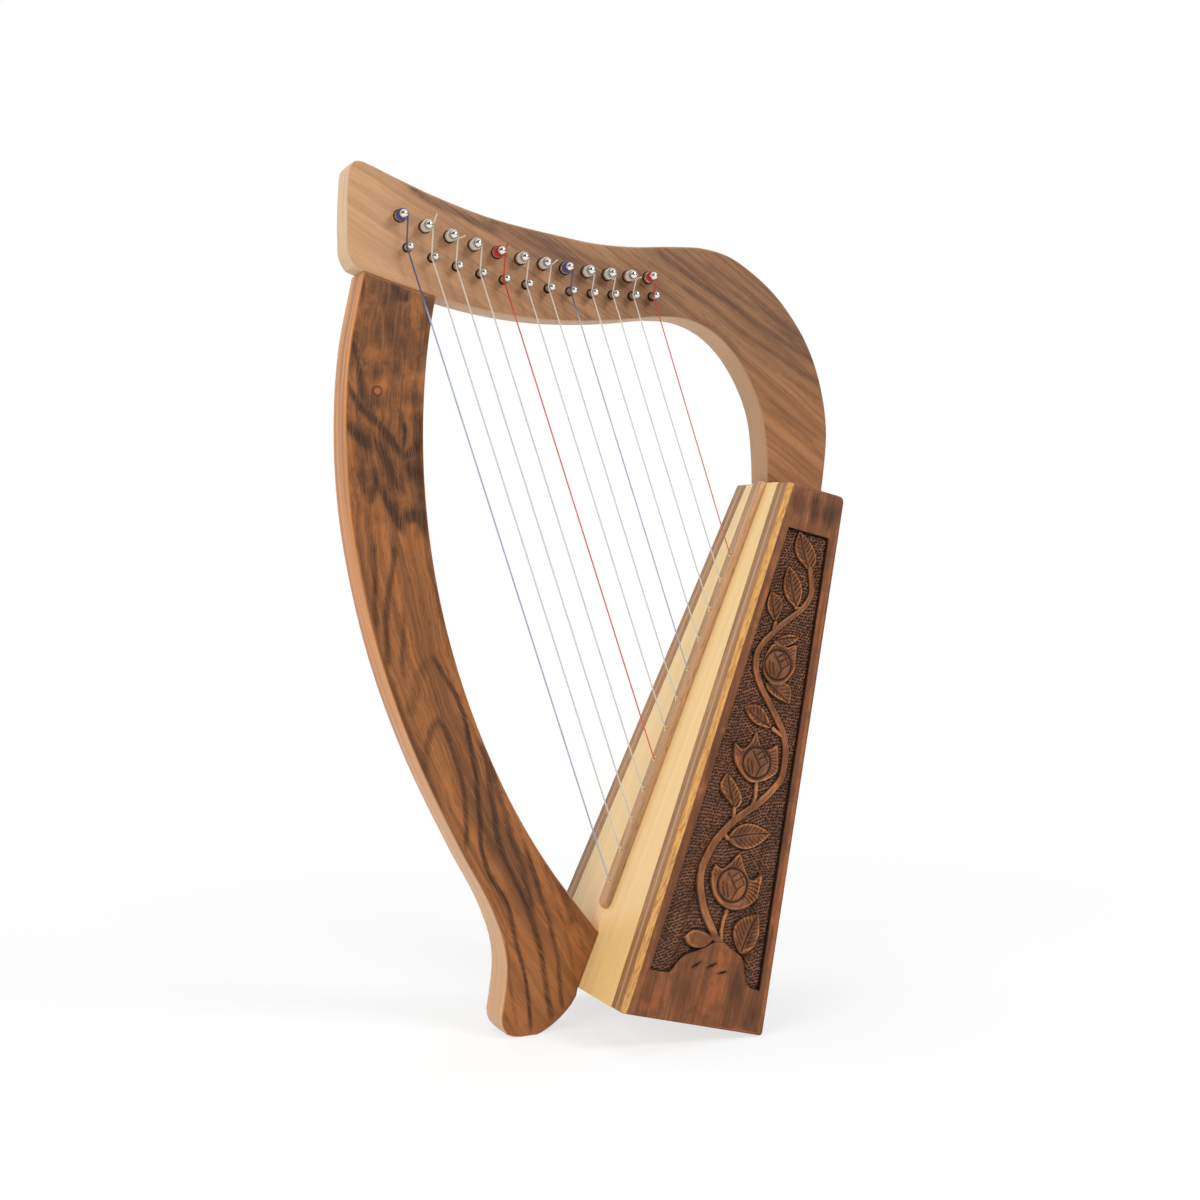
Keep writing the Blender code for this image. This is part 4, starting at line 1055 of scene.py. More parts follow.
def bored(target, places, way, radius, depth, flare, stain):
    """Bores holes into the target, each with a small flare at its mouth."""
    profile = [(radius, -depth), (radius, -flare), (radius + flare + 0.001, 0.001)]
    one, one_faces = lathe(profile, 24)
    turn = np.array(Vector(way).to_track_quat("Z", "Y").to_matrix())
    points, faces = [], []
    for place in places:
        faces += [tuple(i + len(points) for i in face) for face in one_faces]
        points += list(np.array(one) @ turn.T + place)
    cutter = add("bore_cutter", mesh_of("bore_cutter", points, faces), stain)
    cutter.hide_render = True
    modifier = target.modifiers.new("bore", "BOOLEAN")
    modifier.operation = "DIFFERENCE"
    modifier.solver = "EXACT"
    modifier.material_mode = "TRANSFER"
    modifier.object = cutter
    take_mesh(target, [cutter])


def take_mesh(target, cutters):
    """Works the cuts into the target's mesh and clears the cutters away."""
    old = target.data
    target.data = evaluated(target)
    bpy.data.meshes.remove(old)
    for cutter in cutters:
        bpy.data.meshes.remove(cutter.data)


# Geometry Nodes
class ShapeNodes(Nodes):
    """A Geometry Nodes tree with named inputs."""

    def __init__(self, name, inputs):
        super().__init__(bpy.data.node_groups.new(name, "GeometryNodeTree"))
        face = self.tree.interface
        face.new_socket("Geometry", in_out="INPUT", socket_type="NodeSocketGeometry")
        for label, kind in inputs.items():
            face.new_socket(label, in_out="INPUT", socket_type="NodeSocket" + kind)
        face.new_socket("Geometry", in_out="OUTPUT", socket_type="NodeSocketGeometry")
        source = self.tree.nodes.new("NodeGroupInput")
        self.given = {socket.name: Wire(self, socket) for socket in source.outputs}
        self.result = self.tree.nodes.new("NodeGroupOutput")

    def close(self, geometry):
        """Ends the tree in Realize Instances and Set Material."""
        real = self.node("GeometryNodeRealizeInstances", values={"Geometry": geometry})
        last = self.node("GeometryNodeSetMaterial",
                         values={"Geometry": real, "Material": self.given["Material"]})
        self.link(last, self.result.inputs[0])
        return self

    def apply(self, made, **values):
        """Gives the piece the tree's plain mesh for these inputs."""
        modifier = made.modifiers.new("shape", "NODES")
        modifier.node_group = self.tree
        for item in self.tree.interface.items_tree:
            label = item.name.lower()
            if item.in_out == "INPUT" and label in values:
                modifier[item.identifier] = values[label]
        take_mesh(made, [])


def tube_tree():
    """A round tube along a path: a string, a winding or a knot."""
    tree = ShapeNodes("tube_along_path", {"Radius": "Float", "Sides": "Int", "Material": "Material"})
    given = tree.given
    path = tree.node("GeometryNodeMeshToCurve", values={"Mesh": given["Geometry"]})
    ring = tree.node("GeometryNodeCurvePrimitiveCircle",
                     values={"Resolution": given["Sides"], "Radius": given["Radius"]})
    return tree.close(tree.node("GeometryNodeCurveToMesh", values={
        "Curve": path, "Profile Curve": ring, "Fill Caps": True}))


def copies_tree():
    """The same small part set at each of the given points."""
    tree = ShapeNodes("part_at_points", {"Part": "Object", "Size": "Float", "Material": "Material"})
    given = tree.given
    part = tree.node("GeometryNodeObjectInfo", values={"Object": given["Part"]}, output="Geometry")
    sized = tree.node("ShaderNodeCombineXYZ", values={axis: given["Size"] for axis in range(3)})
    return tree.close(tree.node("GeometryNodeInstanceOnPoints", values={
        "Points": given["Geometry"], "Instance": part, "Scale": sized}))


def path_piece(name, points, tree, radius, sides, material):
    """A piece drawn as a tube along the points."""
    made = add(name, mesh_of(name, points, [], [(i, i + 1) for i in range(len(points) - 1)]))
    tree.apply(made, radius=radius, sides=sides, material=material)
    smoothed(made.data, 60)
    return made


def set_out(name, places, part, tree, material, angle):
    """Copies of the part at the places, as one plain mesh."""
    made = add(name, mesh_of(name, places, []))
    pattern = add(name + "_pattern", part)
    pattern.hide_render = True
    tree.apply(made, part=pattern, size=1.0, material=material)
    bpy.data.meshes.remove(part)
    smoothed(made.data, angle)
    return made


# Harp layout
def from_corner(points):
    """Places (x, z) given from the soundbox's top front corner."""
    return [(FRONT_TOP[0] + x, FRONT_TOP[2] + z) for x, z in points]


def neck_outline():
    lift = np.array((math.sin(BOX_END_SLOPE), 0, math.cos(BOX_END_SLOPE))) * CLEAR
    front = FRONT_TOP + END_LINE * ARM_FOOT_SETBACK + lift
    back = front + END_LINE * ARM_FOOT_DEPTH
    under = smooth_run([(front[0], front[2])] + from_corner(ARM_INNER + NECK_UNDER), NECK_STEP)
    end = smooth_run(from_corner(NECK_END), NECK_STEP)
    crest = from_corner(NECK_CREST + NECK_TOP + SHOULDER) + [(back[0], back[2])]
    return [tuple(point) for point in under + end + smooth_run(crest, NECK_STEP)]


def under_neck(x):
    """Height of the neck's lower edge at this x."""
    run = np.array(smooth_run(from_corner(NECK_UNDER), NECK_STEP))[::-1]
    return float(np.interp(x, run[:, 0], run[:, 1]))


def bowed(low, high, shares, bows):
    """Points beside the straight line from low to high: how far along, and how far off it."""
    low, high = np.array(low), np.array(high)
    off = unit(np.array((low[1] - high[1], high[0] - low[0])))
    return [low + (high - low) * share + off * bow for share, bow in zip(shares, bows)]


def pillar_outline():
    seat = FRONT_LOW + UP_FRONT * PILLAR_SEAT - INTO_BOX * CLEAR
    heel = (FRONT_LOW[0] + PILLAR_HEEL_OUT, PILLAR_HEEL_Z)
    out_x, in_x = FRONT_TOP[0] + PILLAR_TOP_OUT, FRONT_TOP[0] + PILLAR_TOP_IN
    top_out = (out_x, under_neck(out_x) - CLEAR)
    top_in = (in_x, under_neck(in_x) - CLEAR)
    head = [(x, under_neck(x) - CLEAR) for x in np.linspace(out_x, in_x, 12)[1:-1]]
    low_in = (seat[0], seat[2])
    inner = [top_in] + bowed(low_in, top_in, PILLAR_IN_SHARES, PILLAR_IN_BOWS)[::-1] + [low_in]
    outer = [heel] + bowed(heel, top_out, PILLAR_OUT_SHARES, PILLAR_OUT_BOWS) + [top_out]
    toe = FRONT_LOW - INTO_BOX * CLEAR
    foot = [(FRONT_LOW[0] + x, z) for x, z in FOOT_ROUND]
    outline = (head + smooth_run(inner, PILLAR_STEP) + [(toe[0], toe[2])]
               + smooth_run(foot[::-1] + outer, PILLAR_STEP))
    return [(x, max(z, 0.0)) for x, z in outline]


def row(points):
    """Places on the cubic through four points, closer together at the treble end."""
    xs, zs = zip(*from_corner(points))
    curve = np.polyfit(xs, zs, 3)
    share = np.linspace(0, 1, STRINGS)
    places = xs[0] + (xs[-1] - xs[0]) * (share * (1 + ROW_CROWD) - share**2 * ROW_CROWD)
    return [(float(x), float(np.polyval(curve, x))) for x in places]


def hole_places():
    """How far up the soundboard each string's hole is."""
    shares = [HOLE_FIRST]
    for step in [HOLE_PITCH] * (STRINGS - 2) + [HOLE_LAST]:
        shares.append(shares[-1] + step)
    return [BOX_LENGTH * share for share in shares]


def front_point(along, depth, y):
    """A place given from the soundboard: up its front, into the box and across."""
    return FRONT_LOW + UP_FRONT * along + INTO_BOX * depth + ACROSS * y


def box_point(end, along_end, y):
    """A place on the box's lower end, 0, or its upper end, 1: along the slope and across."""
    return (FRONT_LOW, FRONT_TOP)[end] + END_LINE * along_end + ACROSS * y


def side_frame(side):
    """The outer face of a side panel: its origin, its way back, its way up and its outward way."""
    low = box_point(0, 0, side * WIDTHS[0] / 2)
    up = unit(box_point(1, 0, side * WIDTHS[1] / 2) - low)
    out = unit(np.cross(up, END_LINE))
    if out[1] * side < 0:
        out = -out
    return low, unit(END_LINE - up * END_LINE.dot(up)), up, out


# The carved vine, in millimetres on the near side panel: way back from its front edge, way up.
STEM = ((32.6, 298.2), (36.6, 290.2), (38.5, 282.1), (36.7, 274.6), (33.1, 268.5), (28.4, 262.2),
        (24.2, 256.1), (21.1, 250.4), (17.3, 243.4), (14.8, 234.6), (16.5, 226.5), (20.8, 219.4),
        (26.5, 213.8), (33.7, 207.6), (42.6, 199.9), (49.5, 192.6), (53.5, 185.2), (55.9, 175.5),
        (56.7, 167.0), (53.3, 158.2), (48.9, 150.5), (44.1, 143.8), (38.0, 136.8), (34.2, 131.8),
        (29.8, 124.1), (25.9, 115.5), (23.6, 106.2), (22.7, 97.4), (24.7, 88.4), (28.8, 80.0),
        (34.4, 72.1), (40.8, 65.7), (47.0, 59.2))
TWIGS = (((20.7, 257.0), (21.1, 250.4)), ((41.0, 193.9), (49.4, 191.5)),
         ((41.1, 158.4), (43.3, 149.8), (42.9, 143.4)), ((31.8, 138.4), (33.4, 131.8)),
         ((47.5, 78.1), (47.2, 71.4), (48.2, 64.5), (50.2, 59.0)),
         ((33.5, 119.8), (29.8, 122.0)), ((31.4, 271.3), (35.0, 271.5)))
# Each leaf: its tip, its base, and the widest point on either side.
LEAVES = (((17.6, 318.3), (31.9, 297.4), (19.6, 305.0), (33.4, 309.5)),
          ((17.6, 294.5), (31.4, 271.3), (19.9, 279.0), (30.9, 285.9)),
          ((11.4, 274.5), (20.7, 257.0), (12.0, 264.8), (21.5, 270.7)),
          ((17.6, 200.0), (41.0, 193.9), (27.4, 193.4), (28.5, 204.6)),
          ((20.0, 157.8), (31.8, 138.4), (18.8, 147.4), (34.1, 147.8)),
          ((61.0, 132.2), (33.5, 119.8), (42.6, 131.7), (49.2, 117.1)),
          ((69.0, 83.3), (65.1, 56.4), (56.2, 71.0), (74.2, 66.6)),
          ((46.4, 212.4), (26.3, 219.7), (32.5, 213.1), (43.6, 222.4)),
          ((40.0, 254.5), (22.6, 245.4), (32.1, 253.1), (32.1, 244.4)))
# Each rose: the middle and radius of its bud, then the outline of its open cup.
ROSES = (((31.1, 232.6), 8.8,
          ((22.3, 243.0), (27.0, 246.0), (33.0, 245.5), (38.9, 249.0), (40.8, 244.0), (41.7, 240.0),
           (43.2, 235.0), (42.4, 230.2), (38.2, 222.6), (30.5, 219.6), (24.0, 223.0), (20.6, 232.0))),
         ((37.2, 170.1), 9.0,
          ((17.9, 177.5), (19.4, 171.0), (22.0, 166.0), (28.1, 160.7), (38.0, 157.3), (41.1, 158.4),
           (48.0, 163.0), (52.3, 169.2), (51.0, 176.0), (48.7, 181.7), (47.2, 185.2), (41.0, 180.4),
           (36.0, 181.6), (30.6, 188.0), (28.4, 180.0), (25.0, 175.2))),
         ((46.1, 94.1), 9.5,
          ((30.4, 103.0), (29.6, 97.0), (30.9, 91.6), (37.6, 82.8), (48.6, 79.3), (56.5, 81.8),
           (62.6, 87.2), (65.2, 92.0), (64.7, 97.7), (63.0, 106.3), (57.6, 101.2), (51.0, 106.0),
           (44.1, 113.6), (39.6, 106.0), (35.5, 101.5))))
# The crossing cuts on a bud, in shares of its radius.
BUD_CUTS = (((-0.55, 0.65), (0.33, -0.22), (0.22, -0.90)), ((-0.22, 0.50), (0.17, 0.92)),
            ((0.17, 0.92), (0.75, 0.35)), ((0.05, 0.25), (0.62, 0.80)), ((0.33, -0.22), (0.78, 0.30)),
            ((-0.75, 0.00), (-0.62, -0.45), (-0.35, -0.80)),
            ((-0.48, -0.05), (-0.30, -0.40), (-0.10, -0.80)))
CUT_BRANCH = ((24.4, 54.7), (28.8, 60.7), (44.5, 59.1), (40.0, 52.3), (27.9, 51.5))
HUMP_TICKS = (((35.2, 38.9), (40.0, 43.9)), ((45.2, 41.9), (51.0, 46.7)), ((53.2, 40.6), (59.0, 43.8)))

# The sunk field: front and back margins, and its lower edge with the hump, in millimetres.
FIELD_TOP_LEFT = (9.0, 317.2)
FIELD_TOP_RIGHT = (38.2, 321.5)
FIELD_LOW = ((9.0, 30.2), (16.2, 30.8), (21.8, 32.4), (25.0, 39.4), (29.2, 45.5), (34.0, 48.6),
             (39.8, 52.8), (44.5, 57.2), (49.8, 59.6), (58.0, 57.4), (66.9, 54.0), (70.9, 46.6),
             (76.6, 39.6), (84.6, 39.4))
FIELD_COLUMNS = 142
FIELD_ROWS = 600
STEM_HALF = 1.85
STEM_GAIN = 0.75
STEM_LENGTH = 260
TWIG_HALF = 1.5
PUNCH_SLANT = math.radians(24)
PUNCH_DEPTH = 1.0
RUBBED_REACH = 4


def path_distance(at, path):
    """How far each point is from the path, and how far along the path the nearest place is."""
    best = np.full(len(at), 1e9)
    share = np.zeros(len(at))
    start = 0.0
    for first, last in zip(path, path[1:]):
        first, last = np.array(first), np.array(last)
        way = last - first
        length = np.linalg.norm(way)
        t = np.clip(((at - first) @ way) / length**2, 0, 1)
        far = np.linalg.norm(at - first - t[:, None] * way, axis=1)
        closer = far < best
        best[closer] = far[closer]
        share[closer] = start + t[closer] * length
        start += length
    return best, share


def looped(points):
    """A smooth closed outline through the points."""
    return [tuple(point) for point in smooth_run([*points, points[0]], 1.0)[:-1]]


def inside_outline(at, outline):
    """Distance to the closed outline, positive inside."""
    closed = list(outline) + [outline[0]]
    far, _ = path_distance(at, closed)
    inside = np.zeros(len(at), bool)
    for (x1, y1), (x2, y2) in zip(closed, closed[1:]):
        if y1 == y2:
            continue
        over = (y1 > at[:, 1]) != (y2 > at[:, 1])
        inside ^= over & (at[:, 0] < (x2 - x1) * (at[:, 1] - y1) / (y2 - y1) + x1)
    return np.where(inside, far, -far)


def carve_leaf(at, tip, base, side_a, side_b):
    """How much of each point is leaf, how high it stands and how much painted shade it takes in its
    cuts and over its middle away from the rim.

    The leaf is pointed, falls to its midrib from a raised rim, and has slanting veins.
    """
    tip, base = np.array(tip), np.array(base)
    way = tip - base
    length = np.linalg.norm(way)
    way = way / length
    left = np.array((-way[1], way[0]))
    t = (at - base) @ way / length
    bend = 0.06 * length * np.sin(np.pi * np.clip(t, 0, 1))
    x = (at - base) @ left - bend * 0.5
    width = np.zeros(len(at))
    for side in (side_a, side_b):
        off = np.array(side) - base
        reach = abs(off @ left)
        peak = np.clip(off @ way / length, 0.25, 0.65)
        power = math.log(0.5) / math.log(peak)
        profile = np.sin(np.pi * np.clip(t, 0, 1) ** power) ** 0.85 * reach
        here = (x > 0) == (off @ left > 0)
        width[here] = profile[here]
    rim = width - np.abs(x)
    high = step_between(-0.15, 0.55, rim)
    share = np.abs(x) / np.maximum(width, 0.5)
    dome = -1.10 + 0.60 * share + 0.20 * step_between(1.3, 0.5, rim)
    midrib = np.exp(-(x / 0.36) ** 2) * (t < 0.93)
    veins = np.abs(((t * length - np.abs(x) * 0.9) / 3.1) % 1.0 - 0.5) * 2
    veins = step_between(0.62, 0.92, veins) * step_between(0.7, 1.2, rim)
    veins = veins * step_between(0.12, 0.3, share)
    cut = np.clip(midrib + veins * 0.8, 0, 1)
    high[(t < -0.02) | (t > 1.02)] = 0
    return high, dome - 0.7 * cut, np.maximum(cut, 0.30 * step_between(1.0, 1.6, rim))


def carve_rose(at, middle, radius, cup):
    """How much of each point is rose, how high it stands and how much painted shade it takes in its
    cuts and grooves.

    The rose is half open: a cup of petals round a domed bud with crossing cuts.
    """
    off = (at - np.array(middle)) / radius
    far = np.linalg.norm(off, axis=1)
    turn = np.arctan2(off[:, 1], off[:, 0])
    rim = inside_outline(at, looped(cup))
    high = step_between(-0.15, 0.6, rim)
    strokes = np.abs((turn * 6.2 + far) % 1.0 - 0.5) * 2
    upper = step_between(-0.2, 0.2, np.sin(turn) + 0.5 * (np.cos(turn) > 0.2))
    cut = step_between(0.60, 0.92, strokes) * step_between(0.9, 1.6, rim) * upper * (far > 1.15)
    height = -0.55 - 0.55 * step_between(1.5, 1.05, far)
    height = height + 0.3 * step_between(1.6, 0.6, rim) - 0.6 * cut
    folds = np.zeros(len(at))
    for path in BUD_CUTS:
        near, _ = path_distance(off, path)
        folds = np.maximum(folds, np.exp(-(near * radius / 0.42) ** 2))
    dome = -0.15 - 0.9 * far**2 - 0.7 * folds
    seam = np.exp(-((far - 1.07) * radius / 0.75) ** 2) * (rim > -0.3)
    height = np.where(far < 1.0, dome, height) - 0.9 * seam
    high = np.maximum(high, step_between(1.04, 0.96, far))
    return high, height, np.clip(np.where(far < 0.97, folds, cut) + seam, 0, 1)


def punch_marks(at, pitch):
    """Depth shares of the punch marks, in slanting rows that wander."""
    along, up = spoke(PUNCH_SLANT)
    turn = np.array(((along, up), (-up, along)))
    wander = np.stack([1.6 * np.sin(at[:, 1] / 11) + 0.8 * np.sin(at[:, 1] / 4.3 + at[:, 0] / 7),
                       2.4 * np.sin(at[:, 0] / 9 + at[:, 1] / 31)], axis=1)
    grid = (at + wander) @ turn.T / pitch
    grid[:, 0] += 0.5 * (np.floor(grid[:, 1]) % 2)
    cell = np.floor(grid)
    first = np.sin(cell[:, 0] * 127.1 + cell[:, 1] * 311.7) * 43758.5453
    second = np.sin(cell[:, 0] * 269.5 + cell[:, 1] * 183.3) * 43758.5453
    jitter = np.stack([first % 1.0, second % 1.0], axis=1) * 0.36 + 0.32
    off = grid - cell - jitter
    return np.exp(-((off[:, 0] / 0.34) ** 2 + (off[:, 1] / 0.28) ** 2))


def carved_relief(at, depth, pitch):
    """What the finish and the shape need at each point of the sunk field.

    Gives its height in millimetres, how far it is ground, how much painted shade it takes, and how much
    painted highlight, partly rubbed wear, lies on its raised edges.
    """
    ground = -depth + 0.15 * np.sin(at[:, 0] * 0.9 + at[:, 1] * 0.35) * np.sin(at[:, 1] * 0.6)
    marks = punch_marks(at, pitch)
    height = ground - PUNCH_DEPTH * marks
    # Painted shade in the punch marks.
    dark = step_between(0.05, 0.38, marks)
    bare = np.ones(len(at))

    def lay(high, top, cut):
        nonlocal height, dark, bare
        raised = ground + (top - ground) * high
        wins = (raised > height) & (high > 0.02)
        height = np.where(wins, raised, height)
        # Painted shade round the foot of each raised shape.
        skirt = 1 - step_between(0.25, 0.85, high)
        dark = np.where(wins, np.maximum(cut * 0.9, skirt), dark)
        bare = np.where(wins, 1 - high, bare)

    stem = [tuple(point) for point in smooth_run(STEM, 1.5)]
    far, along = path_distance(at, stem)
    half = STEM_HALF + STEM_GAIN * np.clip(along / STEM_LENGTH, 0, 1)
    stroke = np.exp(-((far - half * 0.45) / 0.22) ** 2) * 0.22
    lay(step_between(-0.2, 0.5, half - far), -0.45 - 0.40 * (far / half) ** 2, stroke)
    for twig in TWIGS:
        far, _ = path_distance(at, twig)
        lay(step_between(-0.15, 0.6, TWIG_HALF - far), -0.6 - 0.4 * (far / TWIG_HALF) ** 2, 0 * far)
    rim = inside_outline(at, looped(CUT_BRANCH))
    lay(step_between(-0.1, 0.8, rim), -0.3 - 0.5 * np.exp(-(rim / 1.2) ** 2), 0 * rim)
    for middle, radius, cup in ROSES:
        lay(*carve_rose(at, middle, radius, cup))
    for leaf in LEAVES:
        lay(*carve_leaf(at, *leaf))
    # Painted shade darkens the hollows, and a painted highlight, partly rubbed wear, lightens the
    # raised edges: compare each point with those round it.
    field = height.reshape(FIELD_ROWS, FIELD_COLUMNS)
    wide = np.pad(field, RUBBED_REACH, constant_values=0.0)
    span = 2 * RUBBED_REACH + 1
    around = sum(wide[r:r + FIELD_ROWS, c:c + FIELD_COLUMNS]
                 for r in range(span) for c in range(span)) / span**2
    rise = (field - around).ravel()
    dark = np.clip(dark + 0.95 * step_between(0.15, 0.85, -rise), 0, 1)
    return height, bare, dark, step_between(0.2, 0.8, rise)


def panel_ring(corners, front, sides, rounding):
    """The panel's outline with each edge line moved inwards and its corners rounded."""
    lines = []
    for index, off in zip(range(4), (front, sides, sides, sides)):
        first, last = corners[index], corners[(index + 1) % 4]
        way = unit(last - first)
        # The corners run up the front and down the back, so inside lies to the right.
        lines.append((first + np.array((way[1], -way[0])) * off, way))
    meets = []
    for index in range(4):
        (p, a), (q, b) = lines[index - 1], lines[index]
        t = np.cross(q - p, b) / np.cross(a, b)
        meets.append(p + a * t)
    ring = []
    for index, corner in enumerate(meets):
        reach = max(rounding[index] - sides, 0.0002)
        start = corner + unit(meets[index - 1] - corner) * reach
        stop = corner + unit(meets[(index + 1) % 4] - corner) * reach
        ring += curved(start, corner, stop, CORNER_POINTS)
    return ring


def field_grid():
    """The sunk field's points: a grid that follows its straight sides, slanted top and hump."""
    lower = np.array(smooth_run(FIELD_LOW, 1.0))
    share = np.linspace(0, 1, FIELD_COLUMNS)
    base_u = lower[0, 0] + (lower[-1, 0] - lower[0, 0]) * share
    base_v = np.interp(base_u, lower[:, 0], lower[:, 1])
    top_u = FIELD_TOP_LEFT[0] + (FIELD_TOP_RIGHT[0] - FIELD_TOP_LEFT[0]) * share
    top_v = FIELD_TOP_LEFT[1] + (FIELD_TOP_RIGHT[1] - FIELD_TOP_LEFT[1]) * share
    rise = np.linspace(0, 1, FIELD_ROWS)[:, None]
    grid = np.stack([base_u + (top_u - base_u) * rise, base_v + (top_v - base_v) * rise], axis=2)
    return grid.reshape(-1, 2)


def field_border():
    """The grid's points along its lower edge, back edge, top and front edge."""
    columns, rows = range(FIELD_COLUMNS - 1), range(FIELD_ROWS - 1)
    last = FIELD_ROWS * FIELD_COLUMNS - 1
    return ([*columns] + [FIELD_COLUMNS - 1 + r * FIELD_COLUMNS for r in rows]
            + [last - c for c in columns] + [(FIELD_ROWS - 1 - r) * FIELD_COLUMNS for r in rows])


def tick_outline(first, last):
    """The spindle outline of a short cut from first to last."""
    first, last = np.array(first), np.array(last)
    across = np.array((first[1] - last[1], last[0] - first[0])) / np.linalg.norm(last - first)
    shares = np.linspace(0, 1, 7)
    return [first + (last - first) * t + across * 0.55 * way * math.sin(math.pi * (0.08 + 0.84 * t))
            for way, run in ((-1, shares), (1, shares[::-1])) for t in run]


def make_side(name, side, sizes, face_wood, edge_wood):
    """A thick side panel with its carved field, its chamfer and its laminated edges.

    Its points carry: depth, how deep a ply lies; ground, how far they are sunk ground; cut, how much
    painted shade they take; worn, how much painted highlight, partly rubbed wear, they take; and
    figure, the streaks.
    """
    low, back, up, out = side_frame(side)

    def flat(point):
        return np.array(((point - low) @ back, (point - low) @ up))

    outer = side * WIDTHS[0] / 2, side * WIDTHS[1] / 2
    corners = [flat(box_point(0, 0, outer[0])), flat(box_point(1, 0, outer[1])),
               flat(box_point(1, DEPTHS[1], outer[1])), flat(box_point(0, DEPTHS[0], outer[0]))]
    points, depths, bare, dark, faces, kinds = [], [], [], [], [], []

    def lay(at, levels, ground=0.0, cut=0.0):
        """Adds points given in millimetres on the panel, and gives the first one's index."""
        at = np.array(at)
        levels = np.broadcast_to(levels, len(at))
        points.extend(low + (at[:, :1] * back + at[:, 1:] * up + levels[:, None] * out) / 1000)
        depths.extend(np.zeros(len(at)))
        bare.extend(np.broadcast_to(ground, len(at)))
        dark.extend(np.broadcast_to(cut, len(at)))
        return len(points) - len(at)

    rings = []
    front_points = range(CORNER_POINTS // 2, CORNER_POINTS + CORNER_POINTS // 2 + 1)
    for depth, front, sides in SIDE_RINGS:
        rings.append(len(points))
        ring = panel_ring(corners, front, sides, SIDE_CORNERS)
        points += [low + back * u + up * v - ACROSS * side * depth for u, v in ring]
        depths += [depth * 1000 if index in front_points else max(depth * 1000, 3.6)
                   for index in range(len(ring))]
    count = len(ring)
    bare += [0.0] * len(points)
    dark += [0.0] * len(points)
    for first, second in zip(rings, rings[1:]):
        faces += ring_faces(first, second, count)
        kinds += [int(index in front_points[:-1]) for index in range(count)]
    faces.append(tuple(range(rings[-1], rings[-1] + count)))
    kinds.append(0)

    at = field_grid()
    height, open_share, painted_shade_share, wear_and_highlight_share = carved_relief(at, sizes.carving_depth * 1000,
                                                              sizes.punch_pitch * 1000)
    start = lay(at, height, open_share, painted_shade_share)
    for r in range(FIELD_ROWS - 1):
        base = start + r * FIELD_COLUMNS
        faces += [(base + c, base + c + 1, base + FIELD_COLUMNS + c + 1, base + FIELD_COLUMNS + c)
                  for c in range(FIELD_COLUMNS - 1)]
    border = field_border()
    wide = inset(at[border], -0.22)
    # Painted shade down the field's wall, and faintly on its lip.
    wall = lay(at[border], -0.2, 0.35, 0.75)
    lip = lay(wide, 0.0, 0.0, 0.15)
    for index in range(len(border)):
        after = (index + 1) % len(border)
        faces.append((start + border[index], start + border[after], wall + after, wall + index))
        faces.append((wall + index, wall + after, lip + after, lip + index))

    # The flat face round the field, with the short ticks cut below it.
    around = [[flat(point) * 1000 for point in points[:count]], wide]
    firsts = [0, lip]
    for ends in HUMP_TICKS:
        mouth = tick_outline(*ends)
        middle = np.mean(ends, axis=0)
        sides = len(mouth)
        # Painted shade in each tick, darkest at its floor.
        tick = lay(mouth, 0.0, 0.0, 0.6)
        floor = lay((np.array(mouth) - middle) * 0.6 + middle, -0.9, 0.0, 1.0)
        faces += ring_faces(tick, floor, sides)
        faces.append(tuple(range(floor, floor + sides)))
        around.append([flat(point) * 1000 for point in points[tick:tick + sides]])
        firsts.append(tick)
    faces += filled(around, PANEL_LATTICE, firsts, lambda lattice: lay(lattice, 0.0))
    kinds += [0] * (len(faces) - len(kinds))

    data = mesh_of(name, points, faces)
    data.polygons.foreach_set("material_index", kinds)
    placed = np.array(points) - low
    level = placed @ out > -1e-6
    streaks = np.zeros(len(points))
    streaks[level] = figure(np.stack([placed[level] @ back, placed[level] @ up], axis=1) * 1000,
                            PANEL_STREAKS)
    worn = np.zeros(len(points))
    worn[start:start + len(at)] = wear_and_highlight_share
    mark_points(data, depth=depths, ground=bare, cut=dark, figure=streaks, worn=worn)
    outward(data)
    return add(name, data, face_wood, edge_wood), out


def ball(radius, height, low, high, count, flat=1.0):
    """The outline of a pin's domed end, whose top is at the height, between two angles."""
    turns = [math.radians(low + (high - low) * index / (count - 1)) for index in range(count)]
    return [(radius * math.cos(turn), height - radius * flat + radius * flat * math.sin(turn))
            for turn in turns]


def pin_profile():
    """Half outline of a tuning pin about its axis; height 0 is the neck's near face."""
    behind = -NECK_THICKNESS
    tail = behind - 0.0015 - PIN_DRIVE_LENGTH
    profile = [(PIN_DRIVE * 0.36, tail), (PIN_DRIVE * 0.44, tail + 0.0004),
               (PIN_DRIVE * 0.5, tail + 0.0014), (PIN_DRIVE * 0.5, behind - 0.0030)]
    squares = [True] * len(profile)
    profile += [(PIN_SHANK * 0.92, behind - 0.0018), (PIN_SHANK, behind - 0.0012)]
    for low, high in ((behind - 0.0010, behind + 0.0012), (-0.0014, 0.0026)):
        profile += [(PIN_SHANK, height) for height in np.arange(low, high, THREAD_STEP)]
    profile += [(PIN_SHANK * 0.98, 0.0027), (PIN_STRING_PART * 1.08, 0.0033), (PIN_STRING_PART, 0.0036),
                (PIN_STRING_PART, 0.0076), (PIN_STRING_PART * 1.04, 0.0079)]
    profile += ball(PIN_BALL, PIN_REACH, -24, 89, 13)
    squares += [False] * (len(profile) - len(squares))
    return profile, squares


